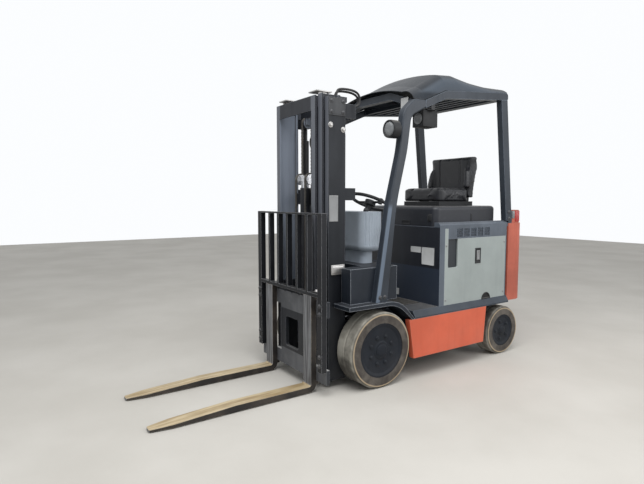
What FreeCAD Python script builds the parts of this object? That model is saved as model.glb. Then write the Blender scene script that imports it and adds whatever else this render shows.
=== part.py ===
import FreeCAD, Part
import math
import os
import re

import Sketcher
from FreeCAD import Placement, Rotation, Vector

# A four-wheel electric counterbalance lift truck with a three-stage mast.
# Millimetres. The forks point to -Y, +X is the truck's left side and +Z is up.
# The origin lies on the floor, on the centreline, halfway along the truck.
# Every y written below is measured from the front axle, and AXLE_Y sets that axle in the frame.

# Driving dimensions: the name in the sheet, its size or the sum that it follows, and what it measures.
SIZES = [
    # Stance
    ("wheelbase", 1370, "front axle to rear axle"),
    ("rear_wall_back", 8, "battery compartment's back wall behind the rear axle"),
    ("weight_back", 33, "counterweight's front face behind the rear axle"),
    ("sill_top_lead", 258, "sill's rear end ahead of the rear axle, along its top"),
    ("sill_low_lead", 286, "sill's rear end ahead of the rear axle, along its bottom"),
    ("pillar_foot_lead", 2, "rear pillar's foot ahead of the rear axle"),
    ("load_distance", 460, "front axle to the fork's upright face"),
    ("rear_overhang", 270, "rear axle to the back of the counterweight"),
    ("body_half", 515, "centreline to the sill and to the front tyre's outer face"),
    ("panel_inset", 27, "side panel inside the sill's face"),
    ("guard_inset", 20, "guard inside the sill's face"),
    ("weight_inset", 18, "counterweight inside the sill's face"),
    ("rear_inset", 25, "rear tyre inside the sill's face"),
    ("mast_clear", 12, "front tyre to the outer rail"),
    ("frame_inset", 25, "inner frame plate inside the mast's width"),
    ("hood_inset", 68, "hood inside the side panel"),
    ("hinge_inset", 104, "hood's hinge inside the hood's side"),
    ("lift_inset", 89, "lift cylinder inside the mast's side"),
    ("lift_chain_inset", 71, "chain inside the lift cylinder"),
    ("tilt_inset", 120, "tilt cylinder inside the mast's side"),
    ("carriage_inset", 70, "fork bars inside the sill's face"),
    ("dash_inset", 195, "dash inside the guard's side"),
    ("panel_half", "body_half - panel_inset", "centreline to the face of the battery side panels"),
    # Clearances
    ("seat_gap", 0.3, "between curved or fitted faces that rest on each other"),
    ("bearing_gap", 0.05, "running fit of a pin or spindle, on the radius"),
    ("rail_gap", 6, "between one mast rail and the next"),
    ("swing_gap", 8, "between a moving piece and what stands beside it"),
    # Front wheels
    ("front_tyre_radius", 266.5, "press-on tyre, outside"),
    ("front_tyre_width", 178, ""),
    ("front_rim_radius", 190.5, "steel wheel under the tyre"),
    ("front_spindle_radius", 40, ""),
    # Rear wheels
    ("rear_tyre_radius", 203, ""),
    ("rear_tyre_width", 152, ""),
    ("rear_rim_radius", 133.5, ""),
    ("rear_half", "body_half - rear_inset", "centreline to the rear tyre's outer face"),
    ("rear_spindle_radius", 30, ""),
    ("wheel_inset", 5, "wheel rim's edge inside the tyre's side"),
    ("wheel_dish", 24, "thickness of the wheel's disc"),
    ("disc_inset", 6, "disc's flat behind the rim's lip"),
    ("tread_groove", 7, "depth of the groove round the tread"),
    ("tread_groove_width", 12, ""),
    ("tyre_bevel", 14, "bevel at the tread's shoulders"),
    # Steer axle
    ("kingpin_offset", 110, "kingpin to the middle of the rear tyre"),
    ("kingpin_radius", 16, ""),
    ("knuckle_height", 100, ""),
    ("knuckle_half", 28, "half the knuckle's length, fore and aft"),
    ("yoke_thickness", 32, ""),
    ("beam_half", 42, "half the steer beam's length, fore and aft"),
    ("steer_cylinder_radius", 34, ""),
    ("steer_rod_radius", 14, ""),
    ("steer_cylinder_half", 95, "half the steering cylinder's length"),
    ("steer_cylinder_back", 84, "steering cylinder behind the axle line"),
    ("pivot_pin_radius", 26, "pin that the steer beam hangs from"),
    # Drive axle
    ("axle_tube_radius", 62, ""),
    ("drum_radius", 105, "brake drum housing"),
    ("drum_width", 34, ""),
    ("motor_radius", 88, "drive motors behind the axle"),
    ("motor_back", 168, "motor shaft behind the front axle"),
    ("motor_length", 218, ""),
    # Chassis
    ("frame_low", 155, "underside of sill and frame"),
    ("ledge_low", 445, "top of the orange sill"),
    ("floor_top", 500, ""),
    ("plate", 12, "frame plate"),
    ("frame_half", "mast_half - frame_inset", "inner frame plates, outside"),
    ("sill_front_top", 256, "front end of the sill along its top"),
    ("sill_front_low", 303, "front end of the sill along its bottom"),
    ("sill_rear_top", "wheelbase - sill_top_lead", ""),
    ("sill_rear_low", "wheelbase - sill_low_lead", ""),
    ("sill_depth", 46, "sill from its outer face inwards"),
    ("compartment_front", 585, "front wall of the battery compartment"),
    ("compartment_rear", "wheelbase + rear_wall_back", "back wall of the battery compartment"),
    ("compartment_top", 1100, ""),
    ("rim_height", 34, "rim that frames the hood"),
    ("rim_bevel", 18, ""),
    ("band_height", 92, "vented band above the side panel"),
    ("window_count", 5, "vent windows in the band"),
    ("window_width", 68, ""),
    ("window_pitch", 82, ""),
    ("window_lead", 130, "first window behind the panel's front edge"),
    ("panel_front", "compartment_front + post_width", "front edge of the battery side panel"),
    ("post_width", 55, "corner post ahead of the side panel"),
    ("cable_hole_lead", 242, "cable hole ahead of the back wall"),
    ("notch_width", 108, "dark notch behind the panel's front strip"),
    ("strip_width", 36, "front strip of the panel"),
    ("notch_depth", 221, ""),
    ("cable_hole_radius", 48, ""),
    ("cable_hole_y", "compartment_rear - cable_hole_lead", ""),
    ("battery_clear", 22, "round the battery"),
    ("battery_low", 470, ""),
    # Front cowl
    ("cowl_face", -42, "front face of the toe board"),
    ("cowl_top", 840, ""),
    ("cowl_depth", 233, "shelf behind the toe board's face"),
    ("fender_front", -285, ""),
    ("fender_top", 600, ""),
    ("fender_thick", 28, ""),
    ("fender_rear", 312, "rear foot of the wheel arch"),
    ("fender_round", 235, "rounding at the back of the wheel arch"),
    ("cheek_front", -225, "front end of the cowl's cheeks"),
    # Dash
    ("dash_half", "guard_half - dash_inset", ""),
    ("dash_front", 2, ""),
    ("dash_depth", 200, ""),
    ("dash_low", 930, ""),
    ("dash_top", 1220, ""),
    ("dash_round", 70, ""),
    ("dash_bowl", 44, "the dash's bottom drawn in to its pedestal"),
    ("flute_count", 7, "flutes down each end of the dash"),
    ("flute_radius", 7, ""),
    ("flute_depth", 3, ""),
    ("pedestal_half", 236, ""),
    ("column_radius", 26, ""),
    ("column_tilt", 24, "degrees from upright"),
    ("wheel_ring_radius", 160, "steering wheel"),
    ("wheel_grip_radius", 13, ""),
    ("steering_y", 300, "centre of the steering wheel"),
    ("steering_z", 1265, ""),
    # Overhead guard
    ("guard_half", "body_half - guard_inset", "centreline to the pillars' outer faces"),
    ("pillar_width", 50, ""),
    ("pillar_depth", 76, ""),
    ("pillar_toe", -44, "front of the pillar's foot"),
    ("pillar_heel", 65, "back of the pillar's foot"),
    ("pillar_knee_y", 66, ""),
    ("pillar_knee_z", 1285, ""),
    ("pillar_long_bend", 1500, ""),
    ("pillar_brow_y", 160, ""),
    ("pillar_brow_z", 1650, ""),
    ("pillar_brow_bend", 900, ""),
    ("pillar_crown_y", 194, "where the pillar turns back into the roof"),
    ("pillar_crown_z", 1930, ""),
    ("pillar_crown_bend", 120, ""),
    ("roof_rail_height", 56, ""),
    ("roof_front", 330, "front header of the guard"),
    ("roof_front_z", 2016, ""),
    ("roof_mid", 620, ""),
    ("roof_mid_z", 2106, ""),
    ("roof_rear", "rear_pillar_top + roof_overhang", ""),
    ("roof_rear_z", 2172, ""),
    ("rear_pillar_top", "rear_pillar_foot - pillar_rake", "front edge of the rear pillar under the roof"),
    ("rear_pillar_foot", "wheelbase - pillar_foot_lead", "front edge of the rear pillar at its foot"),
    ("pillar_rake", 106, "rear pillar's top ahead of its foot"),
    ("roof_overhang", 82, "roof behind the rear pillar's front edge"),
    ("roof_bar_count", 6, ""),
    ("roof_bar_width", 26, ""),
    ("roof_bar_height", 34, ""),
    ("canopy_thick", 5, ""),
    ("canopy_lip", 34, "canopy's front edge ahead of the header"),
    ("header_arch", 90, "rise of the header's top over its ends"),
    ("header_height", 50, ""),
    ("header_flat", 200, "half the header's straight middle"),
    ("canopy_crown", 180, "height of the canopy's peak over the roof rails"),
    # Counterweight
    ("weight_half", "body_half - weight_inset", ""),
    ("weight_front", "wheelbase + weight_back", ""),
    ("weight_low", 455, ""),
    ("weight_top", "compartment_top + weight_rise", ""),
    ("weight_rise", 12, "counterweight over the compartment's top"),
    ("weight_round", 120, "rounding of the rear corners"),
    ("weight_boss_half", 96, "half width of the boss between the rear wheels"),
    ("weight_boss_low", 315, ""),
    ("tow_bore_radius", 17, ""),
    ("tow_slot_low", 520, ""),
    ("tow_slot_height", 90, ""),
    ("tow_slot_half", 80, ""),
    ("tow_wall", 60, "wall over the tow slot"),
    ("tow_well_height", 250, "groove that the tow pin is lifted into"),
    ("tow_well_half", 50, ""),
    ("tow_bore_back", 70, "tow pin's bore ahead of the rear face"),
    # Hood and seat
    ("hood_half", "panel_half - hood_inset", ""),
    ("hood_front", "compartment_front + hood_front_gap", ""),
    ("hood_rear", "compartment_rear - hood_rear_gap", ""),
    ("hood_rear_gap", 42, "hood ahead of the compartment's back wall"),
    ("hood_front_gap", 19, "hood behind the compartment's front wall"),
    ("hood_height", 158, ""),
    ("seat_lead", 48, "seat ahead of the hood's rear edge"),
    ("seat_length", 440, ""),
    ("seat_rise", 440, "top of the seat's back over the hood"),
    ("hinge_back", 9, "hood's hinge line behind the hood"),
    ("hinge_lift", 18, "hood's hinge line above its lower edge"),
    ("hinge_pin_radius", 5, ""),
    ("hinge_x", "hood_half - hinge_inset", "hood's hinge off the centreline"),
    ("hood_top", "compartment_top + hood_height", ""),
    ("hood_round", 55, ""),
    ("hood_wall", 8, ""),
    ("seat_half", 240, ""),
    ("seat_front", "seat_rear - seat_length", ""),
    ("seat_rear", "hood_rear - seat_lead", ""),
    ("seat_pan_height", 36, ""),
    ("cushion_height", 105, ""),
    ("seat_back_top", "hood_top + seat_rise", ""),
    ("seat_back_depth", 90, ""),
    ("bolster_width", 46, "side bolster of the seat's back"),
    ("bolster_depth", 62, "bolster ahead of the back"),
    # Forks
    ("fork_length", 1070, ""),
    ("fork_width", 100, ""),
    ("fork_thick", 40, ""),
    ("fork_tip", 12, "thickness at the tip"),
    ("fork_taper", 520, "length of the tapered stretch"),
    ("fork_tip_width", 60, ""),
    ("fork_spread", 640, "over both forks"),
    ("fork_low", 6, "underside of the blades above the floor"),
    ("heel_round", 55, ""),
    # Carriage
    ("carriage_half", "body_half - carriage_inset", ""),
    ("bar_thick", 25, ""),
    ("upper_bar_low", 535, ""),
    ("upper_bar_top", 640, ""),
    ("lower_bar_low", 82, ""),
    ("lower_bar_top", 182, ""),
    ("hook_height", 26, ""),
    ("notch_count", 9, "fork stops along the upper bar"),
    ("side_plate_thick", 24, ""),
    ("side_plate_top", 700, ""),
    ("backrest_top", 1220, ""),
    ("backrest_bars", 5, "uprights between the side posts"),
    ("backrest_bar_width", 22, ""),
    ("backrest_depth", 40, ""),
    ("backrest_post", 50, ""),
    # Mast
    ("mast_half", "body_half - front_tyre_width - mast_clear", "centreline to the outer rails' faces"),
    ("rail_web", 14, ""),
    ("rail_flange", 14, "thickness of a flange"),
    ("outer_flange", 40, "width of the outer rail's flange"),
    ("flange_out", 15, "flange outside the web"),
    ("flange_in", 15, "flange inside the web"),
    ("nest_step", 32, "each rail ahead of the one outside it"),
    ("inner_depth", 155, ""),
    ("middle_depth", 150, ""),
    ("outer_depth", 140, ""),
    ("mast_low", 55, "underside of the outer rails"),
    ("mast_low_step", 20, "each stage above the one outside it"),
    ("outer_top", 1990, ""),
    ("outer_cross_level", 1303, "third crossmember of the outer mast"),
    ("middle_top", 2012, ""),
    ("inner_top", 2000, ""),
    ("cross_back", 112, "face of the outer crossmembers ahead of the front axle"),
    ("cross_thick", 16, ""),
    ("lift_x", "mast_half - lift_inset", "lift cylinder off the centreline"),
    ("lift_radius", 28, ""),
    ("lift_rod_radius", 18, ""),
    ("lift_wall", 6, ""),
    ("lift_barrel_top", 1760, ""),
    ("lift_y", -151, ""),
    ("free_radius", 38, "free-lift cylinder"),
    ("free_rod_radius", 24, ""),
    ("free_y", -300, ""),
    ("free_top", 1392, "top of the free-lift barrel"),
    ("sheave_radius", 42, "to the middle of the chain"),
    ("sheave_z", 1452, "free-lift sheaves"),
    ("chain_x", 62, "free-lift chains off the centreline"),
    ("chain_width", 18, ""),
    ("chain_thick", 9, ""),
    ("lift_chain_x", "lift_x - lift_chain_inset", ""),
    ("free_stroke", 1180, "carriage's free lift"),
    ("lift_sheave_z", 1880, ""),
    ("lift_sheave_y", -182, ""),
    # Tilt cylinders
    ("tilt_x", "mast_half - tilt_inset", ""),
    ("tilt_radius", 34, ""),
    ("tilt_rod_radius", 15, ""),
    ("tilt_pin_radius", 15, ""),
    ("tilt_mast_y", -60, "pin on the mast"),
    ("tilt_mast_z", 430, ""),
    ("tilt_frame_y", 270, "pin on the frame"),
    ("tilt_frame_z", 400, ""),
    ("tilt_eye_radius", 30, ""),
    ("tilt_eye_width", 30, ""),
    # Lamps
    ("headlamp_radius", 62, ""),
    ("headlamp_z", 1790, ""),
    ("rear_lamp_height", 110, ""),
    ("rear_lamp_depth", 98, "tail lamp, front to back"),
    ("rear_lamp_width", 48, ""),
]

doc = FreeCAD.newDocument("lift_truck")
sheet = doc.addObject("Spreadsheet::Sheet", "sizes")
for row, (alias, size, meaning) in enumerate(SIZES, start=1):
    sheet.set(f"A{row}", meaning or alias.replace("_", " "))
    sheet.setAlias(f"B{row}", alias)
for row, (alias, size, meaning) in enumerate(SIZES, start=1):
    sheet.set(f"B{row}", f"={size}")
doc.recompute()

AXLE_Y = "(fork_length + load_distance - wheelbase - rear_overhang) / 2"
MATHS = ("sin", "cos", "tan", "sqrt", "min", "max", "atan2", "hypot")
PARTS = []


def bound(text):
    """The text of a size, with each name in it pointing at the sheet."""
    return re.sub(r"[a-z]\w*",
                  lambda word: word.group() if word.group() in MATHS else "sizes." + word.group(),
                  str(text))


def value(text):
    return float(sheet.evalExpression(bound(text)))


def outline(sketch, points):
    """A closed outline of (x, y) or (x, y, rounding), held by the names of its sizes."""
    at = [(value(p[0]), value(p[1]), value(p[2]) if len(p) > 2 else 0.0) for p in points]
    count = len(at)
    corners = []
    for i, (x, y, rounding) in enumerate(at):
        corner = Vector(x, y, 0)
        before = Vector(at[i - 1][0], at[i - 1][1], 0)
        after = Vector(at[(i + 1) % count][0], at[(i + 1) % count][1], 0)
        if not rounding:
            corners.append((corner, corner, None, None))
            continue
        back = (before - corner).normalize()
        ahead = (after - corner).normalize()
        half = back.getAngle(ahead) / 2
        reach = rounding / math.tan(half)
        centre = corner + (back + ahead).normalize() * (rounding / math.sin(half))
        turns_left = (corner - before).cross(after - corner).z > 0
        corners.append((corner + back * reach, corner + ahead * reach, centre, turns_left))
    first = sketch.GeometryCount
    sketch.addGeometry([Part.LineSegment(corners[i][1], corners[(i + 1) % count][0])
                        for i in range(count)], False)

    def hold(geometry, end, point):
        for kind, text in (("DistanceX", point[0]), ("DistanceY", point[1])):
            index = sketch.addConstraint(Sketcher.Constraint(kind, -1, 1, geometry, end, value(text)))
            sketch.setExpression(f"Constraints[{index}]", bound(text))

    for i, (entry, leave, centre, turns_left) in enumerate(corners):
        before = first + (i - 1) % count
        after = first + i
        if centre is None:
            sketch.addConstraint(Sketcher.Constraint("Coincident", before, 2, after, 1))
            hold(after, 1, points[i])
            continue
        begin, end = (entry, leave) if turns_left else (leave, entry)
        angles = [math.atan2(q.y - centre.y, q.x - centre.x) for q in (begin, end)]
        circle = Part.Circle(centre, Vector(0, 0, 1), at[i][2])
        arc = sketch.addGeometry(Part.ArcOfCircle(circle, *angles), False)
        corner = sketch.addGeometry(Part.Point(Vector(at[i][0], at[i][1], 0)), True)
        sketch.addConstraint(Sketcher.Constraint("Tangent", before, 2, arc, 1 if turns_left else 2))
        sketch.addConstraint(Sketcher.Constraint("Tangent", after, 1, arc, 2 if turns_left else 1))
        sketch.addConstraint(Sketcher.Constraint("PointOnObject", corner, 1, before))
        sketch.addConstraint(Sketcher.Constraint("PointOnObject", corner, 1, after))
        hold(corner, 1, points[i])
        index = sketch.addConstraint(Sketcher.Constraint("Radius", arc, at[i][2]))
        sketch.setExpression(f"Constraints[{index}]", bound(points[i][2]))


def sketched_body(name, role):
    """An empty body with one sketch on one of its origin planes, y counted from the front axle."""
    body = doc.addObject("PartDesign::Body", name)
    sketch = body.newObject("Sketcher::SketchObject", name + "_outline")
    origin_plane = next(plane for plane in body.Origin.OriginFeatures if plane.Role == role)
    sketch.AttachmentSupport = (origin_plane, [""])
    sketch.MapMode = "FlatFace"
    return body, sketch


def slab(name, across, low, high, *outlines):
    """A profile padded from low to high along x, y or z. Later outlines are holes in the first."""
    role = {"x": "YZ_Plane", "y": "XZ_Plane", "z": "XY_Plane"}[across]
    body, sketch = sketched_body(name, role)
    offset = {"x": (AXLE_Y, "0", low),
              "y": ("0", "0", f"-({high}) - ({AXLE_Y})"),
              "z": ("0", AXLE_Y, low)}[across]
    for letter, text in zip("xyz", offset):
        sketch.setExpression(f"AttachmentOffset.Base.{letter}", bound(text))
    for points in outlines:
        outline(sketch, points)
    pad = body.newObject("PartDesign::Pad", name + "_pad")
    pad.Profile = sketch
    pad.setExpression("Length", bound(f"({high}) - ({low})"))
    return body


def softened(body, size, along=None, kind="Fillet", where=None):
    """Rounds or bevels a body's straight edges along one axis, or those that a test picks."""
    doc.recompute()
    base = body.Tip
    names = []
    for number, edge in enumerate(base.Shape.Edges, start=1):
        if where is not None:
            chosen = where(edge)
        else:
            run = edge.Vertexes[-1].Point - edge.Vertexes[0].Point
            chosen = edge.Curve.TypeId == "Part::GeomLine" and run.Length > 0
            chosen = chosen and abs(run.normalize().dot(along)) > 0.999
        if chosen:
            names.append(f"Edge{number}")
    feature = body.newObject("PartDesign::" + kind, body.Name + "_" + kind.lower())
    feature.Base = (base, names)
    feature.setExpression("Radius" if kind == "Fillet" else "Size", bound(size))
    return body


def box(name, x, y, z):
    """A block from pairs of low and high sides, y counted from the front axle."""
    block = doc.addObject("Part::Box", name)
    for side, (low, high) in zip(("Length", "Width", "Height"), (x, y, z)):
        block.setExpression(side, bound(f"({high}) - ({low})"))
    for letter, low in zip("xyz", (x[0], f"({y[0]}) + {AXLE_Y}", z[0])):
        block.setExpression(f"Placement.Base.{letter}", bound(low))
    return block


def rod(name, along, start, length, radius, tilt="0"):
    """A cylinder along x, y or z from its start point; tilt turns one along z towards -y, in degrees."""
    shaft = doc.addObject("Part::Cylinder", name)
    shaft.setExpression("Radius", bound(radius))
    shaft.setExpression("Height", bound(length))
    turn = {"x": Rotation(Vector(0, 1, 0), 90), "y": Rotation(Vector(-1, 0, 0), 90),
            "z": Rotation(Vector(1, 0, 0), 0)}[along]
    shaft.Placement = Placement(Vector(0, 0, 0), turn)
    if tilt != "0":
        shaft.Placement = Placement(Vector(0, 0, 0), Rotation(Vector(1, 0, 0), value(tilt)))
        shaft.setExpression("Placement.Rotation.Angle", bound(tilt))
    for letter, text in zip("xyz", (start[0], f"({start[1]}) + {AXLE_Y}", start[2])):
        shaft.setExpression(f"Placement.Base.{letter}", bound(text))
    return shaft


def turned(name, centre, profile):
    """A profile of (along x, radius) revolved about a line along x through (y, z)."""
    body, sketch = sketched_body(name, "XY_Plane")
    outline(sketch, profile)
    spin = body.newObject("PartDesign::Revolution", name + "_revolution")
    spin.Profile = sketch
    spin.ReferenceAxis = (sketch, ["H_Axis"])
    spin.Angle = 360
    body.setExpression("Placement.Base.y", bound(f"({centre[0]}) + {AXLE_Y}"))
    body.setExpression("Placement.Base.z", bound(centre[1]))
    return body


def joined(name, *pieces):
    fuse = doc.addObject("Part::MultiFuse", name)
    fuse.Shapes = list(pieces)
    fuse.Refine = True
    return fuse


def grouped(name, *pieces):
    """Like pieces that don't touch, kept as one sub-part."""
    group = doc.addObject("Part::Compound", name)
    group.Links = list(pieces)
    return group


def less(name, base, *tools):
    cut = doc.addObject("Part::Cut", name)
    cut.Base = base
    cut.Tool = tools[0] if len(tools) == 1 else joined(name + "_tools", *tools)
    cut.Refine = True
    return cut


def common(name, one, other):
    both = doc.addObject("Part::Common", name)
    both.Base = one
    both.Tool = other
    return both


def mirrored(name, source):
    """The same piece on the truck's other side."""
    twin = doc.addObject("Part::Mirroring", name)
    twin.Source = source
    twin.Normal = Vector(1, 0, 0)
    return twin


def pair(name, left):
    return grouped(name, left, mirrored(name + "_right", left))


def keep(node, piece):
    """Names a finished sub-part."""
    piece.Label = node
    PARTS.append(piece)
    return piece


X = Vector(1, 0, 0)


# Wheels: a press-on tyre round a dished steel wheel whose blind hub runs on its spindle.
def road_wheel(place, axle_y, radius, rim, width, outer_face, spindle, spindle_end):
    inner = f"{outer_face} - {width}"
    middle = f"{outer_face} - {width} / 2"
    tyre = turned(place + "_tyre_body", (axle_y, radius), [
        (inner, f"{rim} + seat_gap"), (outer_face, f"{rim} + seat_gap"),
        (outer_face, f"{radius} - tyre_bevel"), (f"{outer_face} - tyre_bevel", radius),
        (f"{middle} + tread_groove_width", radius), (middle, f"{radius} - tread_groove"),
        (f"{middle} - tread_groove_width", radius),
        (f"{inner} + tyre_bevel", radius), (inner, f"{radius} - tyre_bevel")])
    rim_out = f"{outer_face} - wheel_inset"
    disc_out = f"{outer_face} - wheel_inset - disc_inset"
    disc_in = f"{outer_face} - wheel_inset - wheel_dish * 1.5"
    bore = f"{spindle} + bearing_gap"
    wheel = turned(place + "_wheel_body", (axle_y, radius), [
        (f"{spindle_end} + bearing_gap", "0"), (rim_out, "0"), (rim_out, f"{spindle} * 1.4"),
        (disc_out, f"{spindle} * 1.7"), (disc_out, f"{rim} - wheel_dish * 1.2"),
        (rim_out, f"{rim} - wheel_dish / 2"), (rim_out, rim),
        (f"{inner} + wheel_inset", rim), (f"{inner} + wheel_inset", f"{rim} - wheel_dish / 2"),
        (disc_in, f"{rim} - wheel_dish"), (disc_in, f"{spindle} * 1.9"),
        (f"{inner} + wheel_inset + drum_width", f"{spindle} * 1.9"),
        (f"{inner} + wheel_inset + drum_width", bore), (f"{spindle_end} + bearing_gap", bore)])
    for side, tyre_piece, wheel_piece in (
            ("left", tyre, wheel),
            ("right", mirrored(place + "_tyre_right", tyre), mirrored(place + "_wheel_right", wheel))):
        keep(f"{place}_tyre_{side}", tyre_piece)
        keep(f"{place}_wheel_{side}", wheel_piece)


FRONT_SPINDLE_END = "body_half - wheel_inset - wheel_dish * 1.5"
REAR_SPINDLE_END = "rear_half - wheel_inset - wheel_dish * 1.5"
road_wheel("front", "0", "front_tyre_radius", "front_rim_radius", "front_tyre_width", "body_half",
           "front_spindle_radius", FRONT_SPINDLE_END)
road_wheel("rear", "wheelbase", "rear_tyre_radius", "rear_rim_radius", "rear_tyre_width", "rear_half",
           "rear_spindle_radius", REAR_SPINDLE_END)

# Drive axle: one tube with a brake drum housing and a spindle at each end, and two motors behind.
DRUM_OUT = "body_half - front_tyre_width + wheel_inset + drum_width - swing_gap"
axle_tube = turned("axle_tube", ("0", "front_tyre_radius"), [
    ("0", "0"), (FRONT_SPINDLE_END, "0"), (FRONT_SPINDLE_END, "front_spindle_radius"),
    (DRUM_OUT, "front_spindle_radius"), (DRUM_OUT, "drum_radius"),
    (f"{DRUM_OUT} - drum_width", "drum_radius"),
    (f"{DRUM_OUT} - drum_width", "axle_tube_radius"), ("0", "axle_tube_radius")])
motor = rod("motor_body", "x", ("swing_gap * 3", "motor_back", "front_tyre_radius"),
            "motor_length", "motor_radius")
gear_case = slab("gear_case", "x", "swing_gap * 10", "swing_gap * 10 + plate * 5", [
    ("-axle_tube_radius * 1.3", "front_tyre_radius - axle_tube_radius * 1.3", "axle_tube_radius"),
    ("motor_back + motor_radius * 0.3", "front_tyre_radius - motor_radius * 0.8"),
    ("motor_back + motor_radius * 0.3", "front_tyre_radius + motor_radius * 0.8"),
    ("-axle_tube_radius * 1.3", "front_tyre_radius + axle_tube_radius * 1.3", "axle_tube_radius")])
half_axle = joined("half_axle", axle_tube, motor, gear_case)
keep("drive_axle", joined("drive_axle_body", half_axle, mirrored("half_axle_right", half_axle)))

# Steer axle: a beam with a yoke at each end, hung on a pivot pin, with its steering cylinder behind.
REAR_Z = "rear_tyre_radius"
KINGPIN_X = "rear_half - rear_tyre_width / 2 - kingpin_offset"
YOKE_GAP = "swing_gap * 0.7"
beam = box("steer_beam", ("0", f"{KINGPIN_X} - knuckle_half - swing_gap * 2"),
           ("wheelbase - beam_half", "wheelbase + beam_half"),
           (f"{REAR_Z} - knuckle_height / 2 - yoke_thickness - {YOKE_GAP}",
            f"{REAR_Z} + knuckle_height / 2 + yoke_thickness + {YOKE_GAP}"))


def yoke(name, low):
    """One jaw of the beam's end, tapered to the kingpin."""
    return slab(name, "z", low, f"{low} + yoke_thickness", [
        (f"{KINGPIN_X} - knuckle_half - swing_gap * 2", "wheelbase - beam_half"),
        (f"{KINGPIN_X} + kingpin_radius * 1.6", "wheelbase - kingpin_radius * 1.6", "kingpin_radius * 1.5"),
        (f"{KINGPIN_X} + kingpin_radius * 1.6", "wheelbase + kingpin_radius * 1.6", "kingpin_radius * 1.5"),
        (f"{KINGPIN_X} - knuckle_half - swing_gap * 2", "wheelbase + beam_half")])


upper_yoke = yoke("upper_yoke", f"{REAR_Z} + knuckle_height / 2 + {YOKE_GAP}")
lower_yoke = yoke("lower_yoke", f"{REAR_Z} - knuckle_height / 2 - yoke_thickness - {YOKE_GAP}")
kingpin_bore = rod("kingpin_bore", "z", (KINGPIN_X, "wheelbase", "0"), "rear_tyre_radius * 2",
                   "kingpin_radius + bearing_gap")
cylinder_half = rod("steer_cylinder", "x", ("0", "wheelbase + steer_cylinder_back", REAR_Z),
                    "steer_cylinder_half", "steer_cylinder_radius")
rod_half = rod("steer_rod", "x", ("0", "wheelbase + steer_cylinder_back", REAR_Z),
               "steer_cylinder_half + kingpin_radius * 1.5", "steer_rod_radius")
cylinder_foot = box("steer_cylinder_foot", ("0", "steer_cylinder_half * 0.8"),
                    ("wheelbase + beam_half - 1", "wheelbase + steer_cylinder_back"),
                    (f"{REAR_Z} - steer_cylinder_radius * 0.6", f"{REAR_Z} + steer_cylinder_radius * 0.6"))
half_beam = less("half_beam", joined("half_beam_solid", beam, upper_yoke, lower_yoke, cylinder_half,
                                     rod_half, cylinder_foot), kingpin_bore)
pivot_pin = rod("pivot_pin", "y", ("0", "wheelbase - beam_half - plate * 3", REAR_Z),
                "beam_half * 2 + plate * 6", "pivot_pin_radius")
keep("steer_axle", joined("steer_axle_body", half_beam, mirrored("half_beam_right", half_beam), pivot_pin))

knuckle_block = slab("knuckle_block", "z", f"{REAR_Z} - knuckle_height / 2", f"{REAR_Z} + knuckle_height / 2",
                     [
    (f"{KINGPIN_X} - knuckle_half", "wheelbase - knuckle_half", "kingpin_radius"),
    (f"{KINGPIN_X} + knuckle_half", "wheelbase - knuckle_half", "kingpin_radius"),
    (f"{KINGPIN_X} + knuckle_half", "wheelbase + knuckle_half", "kingpin_radius"),
    (f"{KINGPIN_X} - knuckle_half", "wheelbase + knuckle_half", "kingpin_radius")])
kingpin = rod("kingpin", "z", (KINGPIN_X, "wheelbase",
                               f"{REAR_Z} - knuckle_height / 2 - yoke_thickness - {YOKE_GAP}"),
              f"knuckle_height + yoke_thickness * 2 + {YOKE_GAP} * 2", "kingpin_radius")
rear_spindle = rod("rear_spindle", "x", (KINGPIN_X, "wheelbase", REAR_Z),
                   f"{REAR_SPINDLE_END} - ({KINGPIN_X})", "rear_spindle_radius")
knuckle = joined("knuckle_body", knuckle_block, kingpin, rear_spindle)
keep("knuckle_left", knuckle)
keep("knuckle_right", mirrored("knuckle_body_right", knuckle))

# Main frame: floor, sloped side ledges, inner plates, battery tray and the cross plates between.
FLOOR_FRONT = "cowl_face + plate"
ARCH_OUT = "(body_half - front_tyre_width - swing_gap)"
floor_front = box("floor_front", ("0", ARCH_OUT), (FLOOR_FRONT, "fender_rear"),
                  ("floor_top - plate", "floor_top"))
floor_rear = box("floor_rear", ("0", "panel_half"), ("fender_rear", "compartment_front"),
                 ("floor_top - plate", "floor_top"))
ledge = slab("side_ledge", "y", "fender_rear", "weight_front", [
    ("panel_half - plate * 3", "ledge_low"), ("body_half", "ledge_low"), ("body_half", "ledge_low + plate"),
    ("panel_half", "floor_top"), ("panel_half - plate * 3", "floor_top")])
inner_plate = box("inner_plate", ("frame_half - plate", "frame_half"), ("-plate * 2", "fender_rear"),
                  ("frame_low + plate", "floor_top - plate"))
axle_clear = rod("axle_clear", "x", ("0", "0", "front_tyre_radius"), "body_half",
                 "axle_tube_radius + seat_gap")
front_web = box("front_web", ("0", "panel_half - plate * 3"), ("fender_rear", "fender_rear + plate"),
                ("frame_low + plate", "floor_top - plate"))
side_beam = box("side_beam", ("panel_half - plate * 4", "panel_half - plate * 3"),
                ("fender_rear", "sill_rear_low"), ("frame_low + plate", "battery_low - plate"))
tray = box("battery_tray", ("0", "panel_half - plate * 3"), ("compartment_front", "weight_front"),
           ("battery_low - plate", "battery_low"))
rear_web = box("rear_web", ("0", "panel_half - plate * 3"), ("sill_rear_low - plate", "sill_rear_low"),
               ("frame_low + plate", "battery_low - plate"))
spine = box("rear_spine", ("weight_boss_half - plate * 2", "weight_boss_half"),
            ("sill_rear_low", "wheelbase - beam_half - swing_gap"), (REAR_Z, "battery_low - plate"))
hanger = box("axle_hanger", ("0", "weight_boss_half"),
             ("wheelbase - beam_half - plate * 3", "wheelbase - beam_half - swing_gap"),
             (f"{REAR_Z} - pivot_pin_radius * 1.8", "battery_low - plate"))
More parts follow.
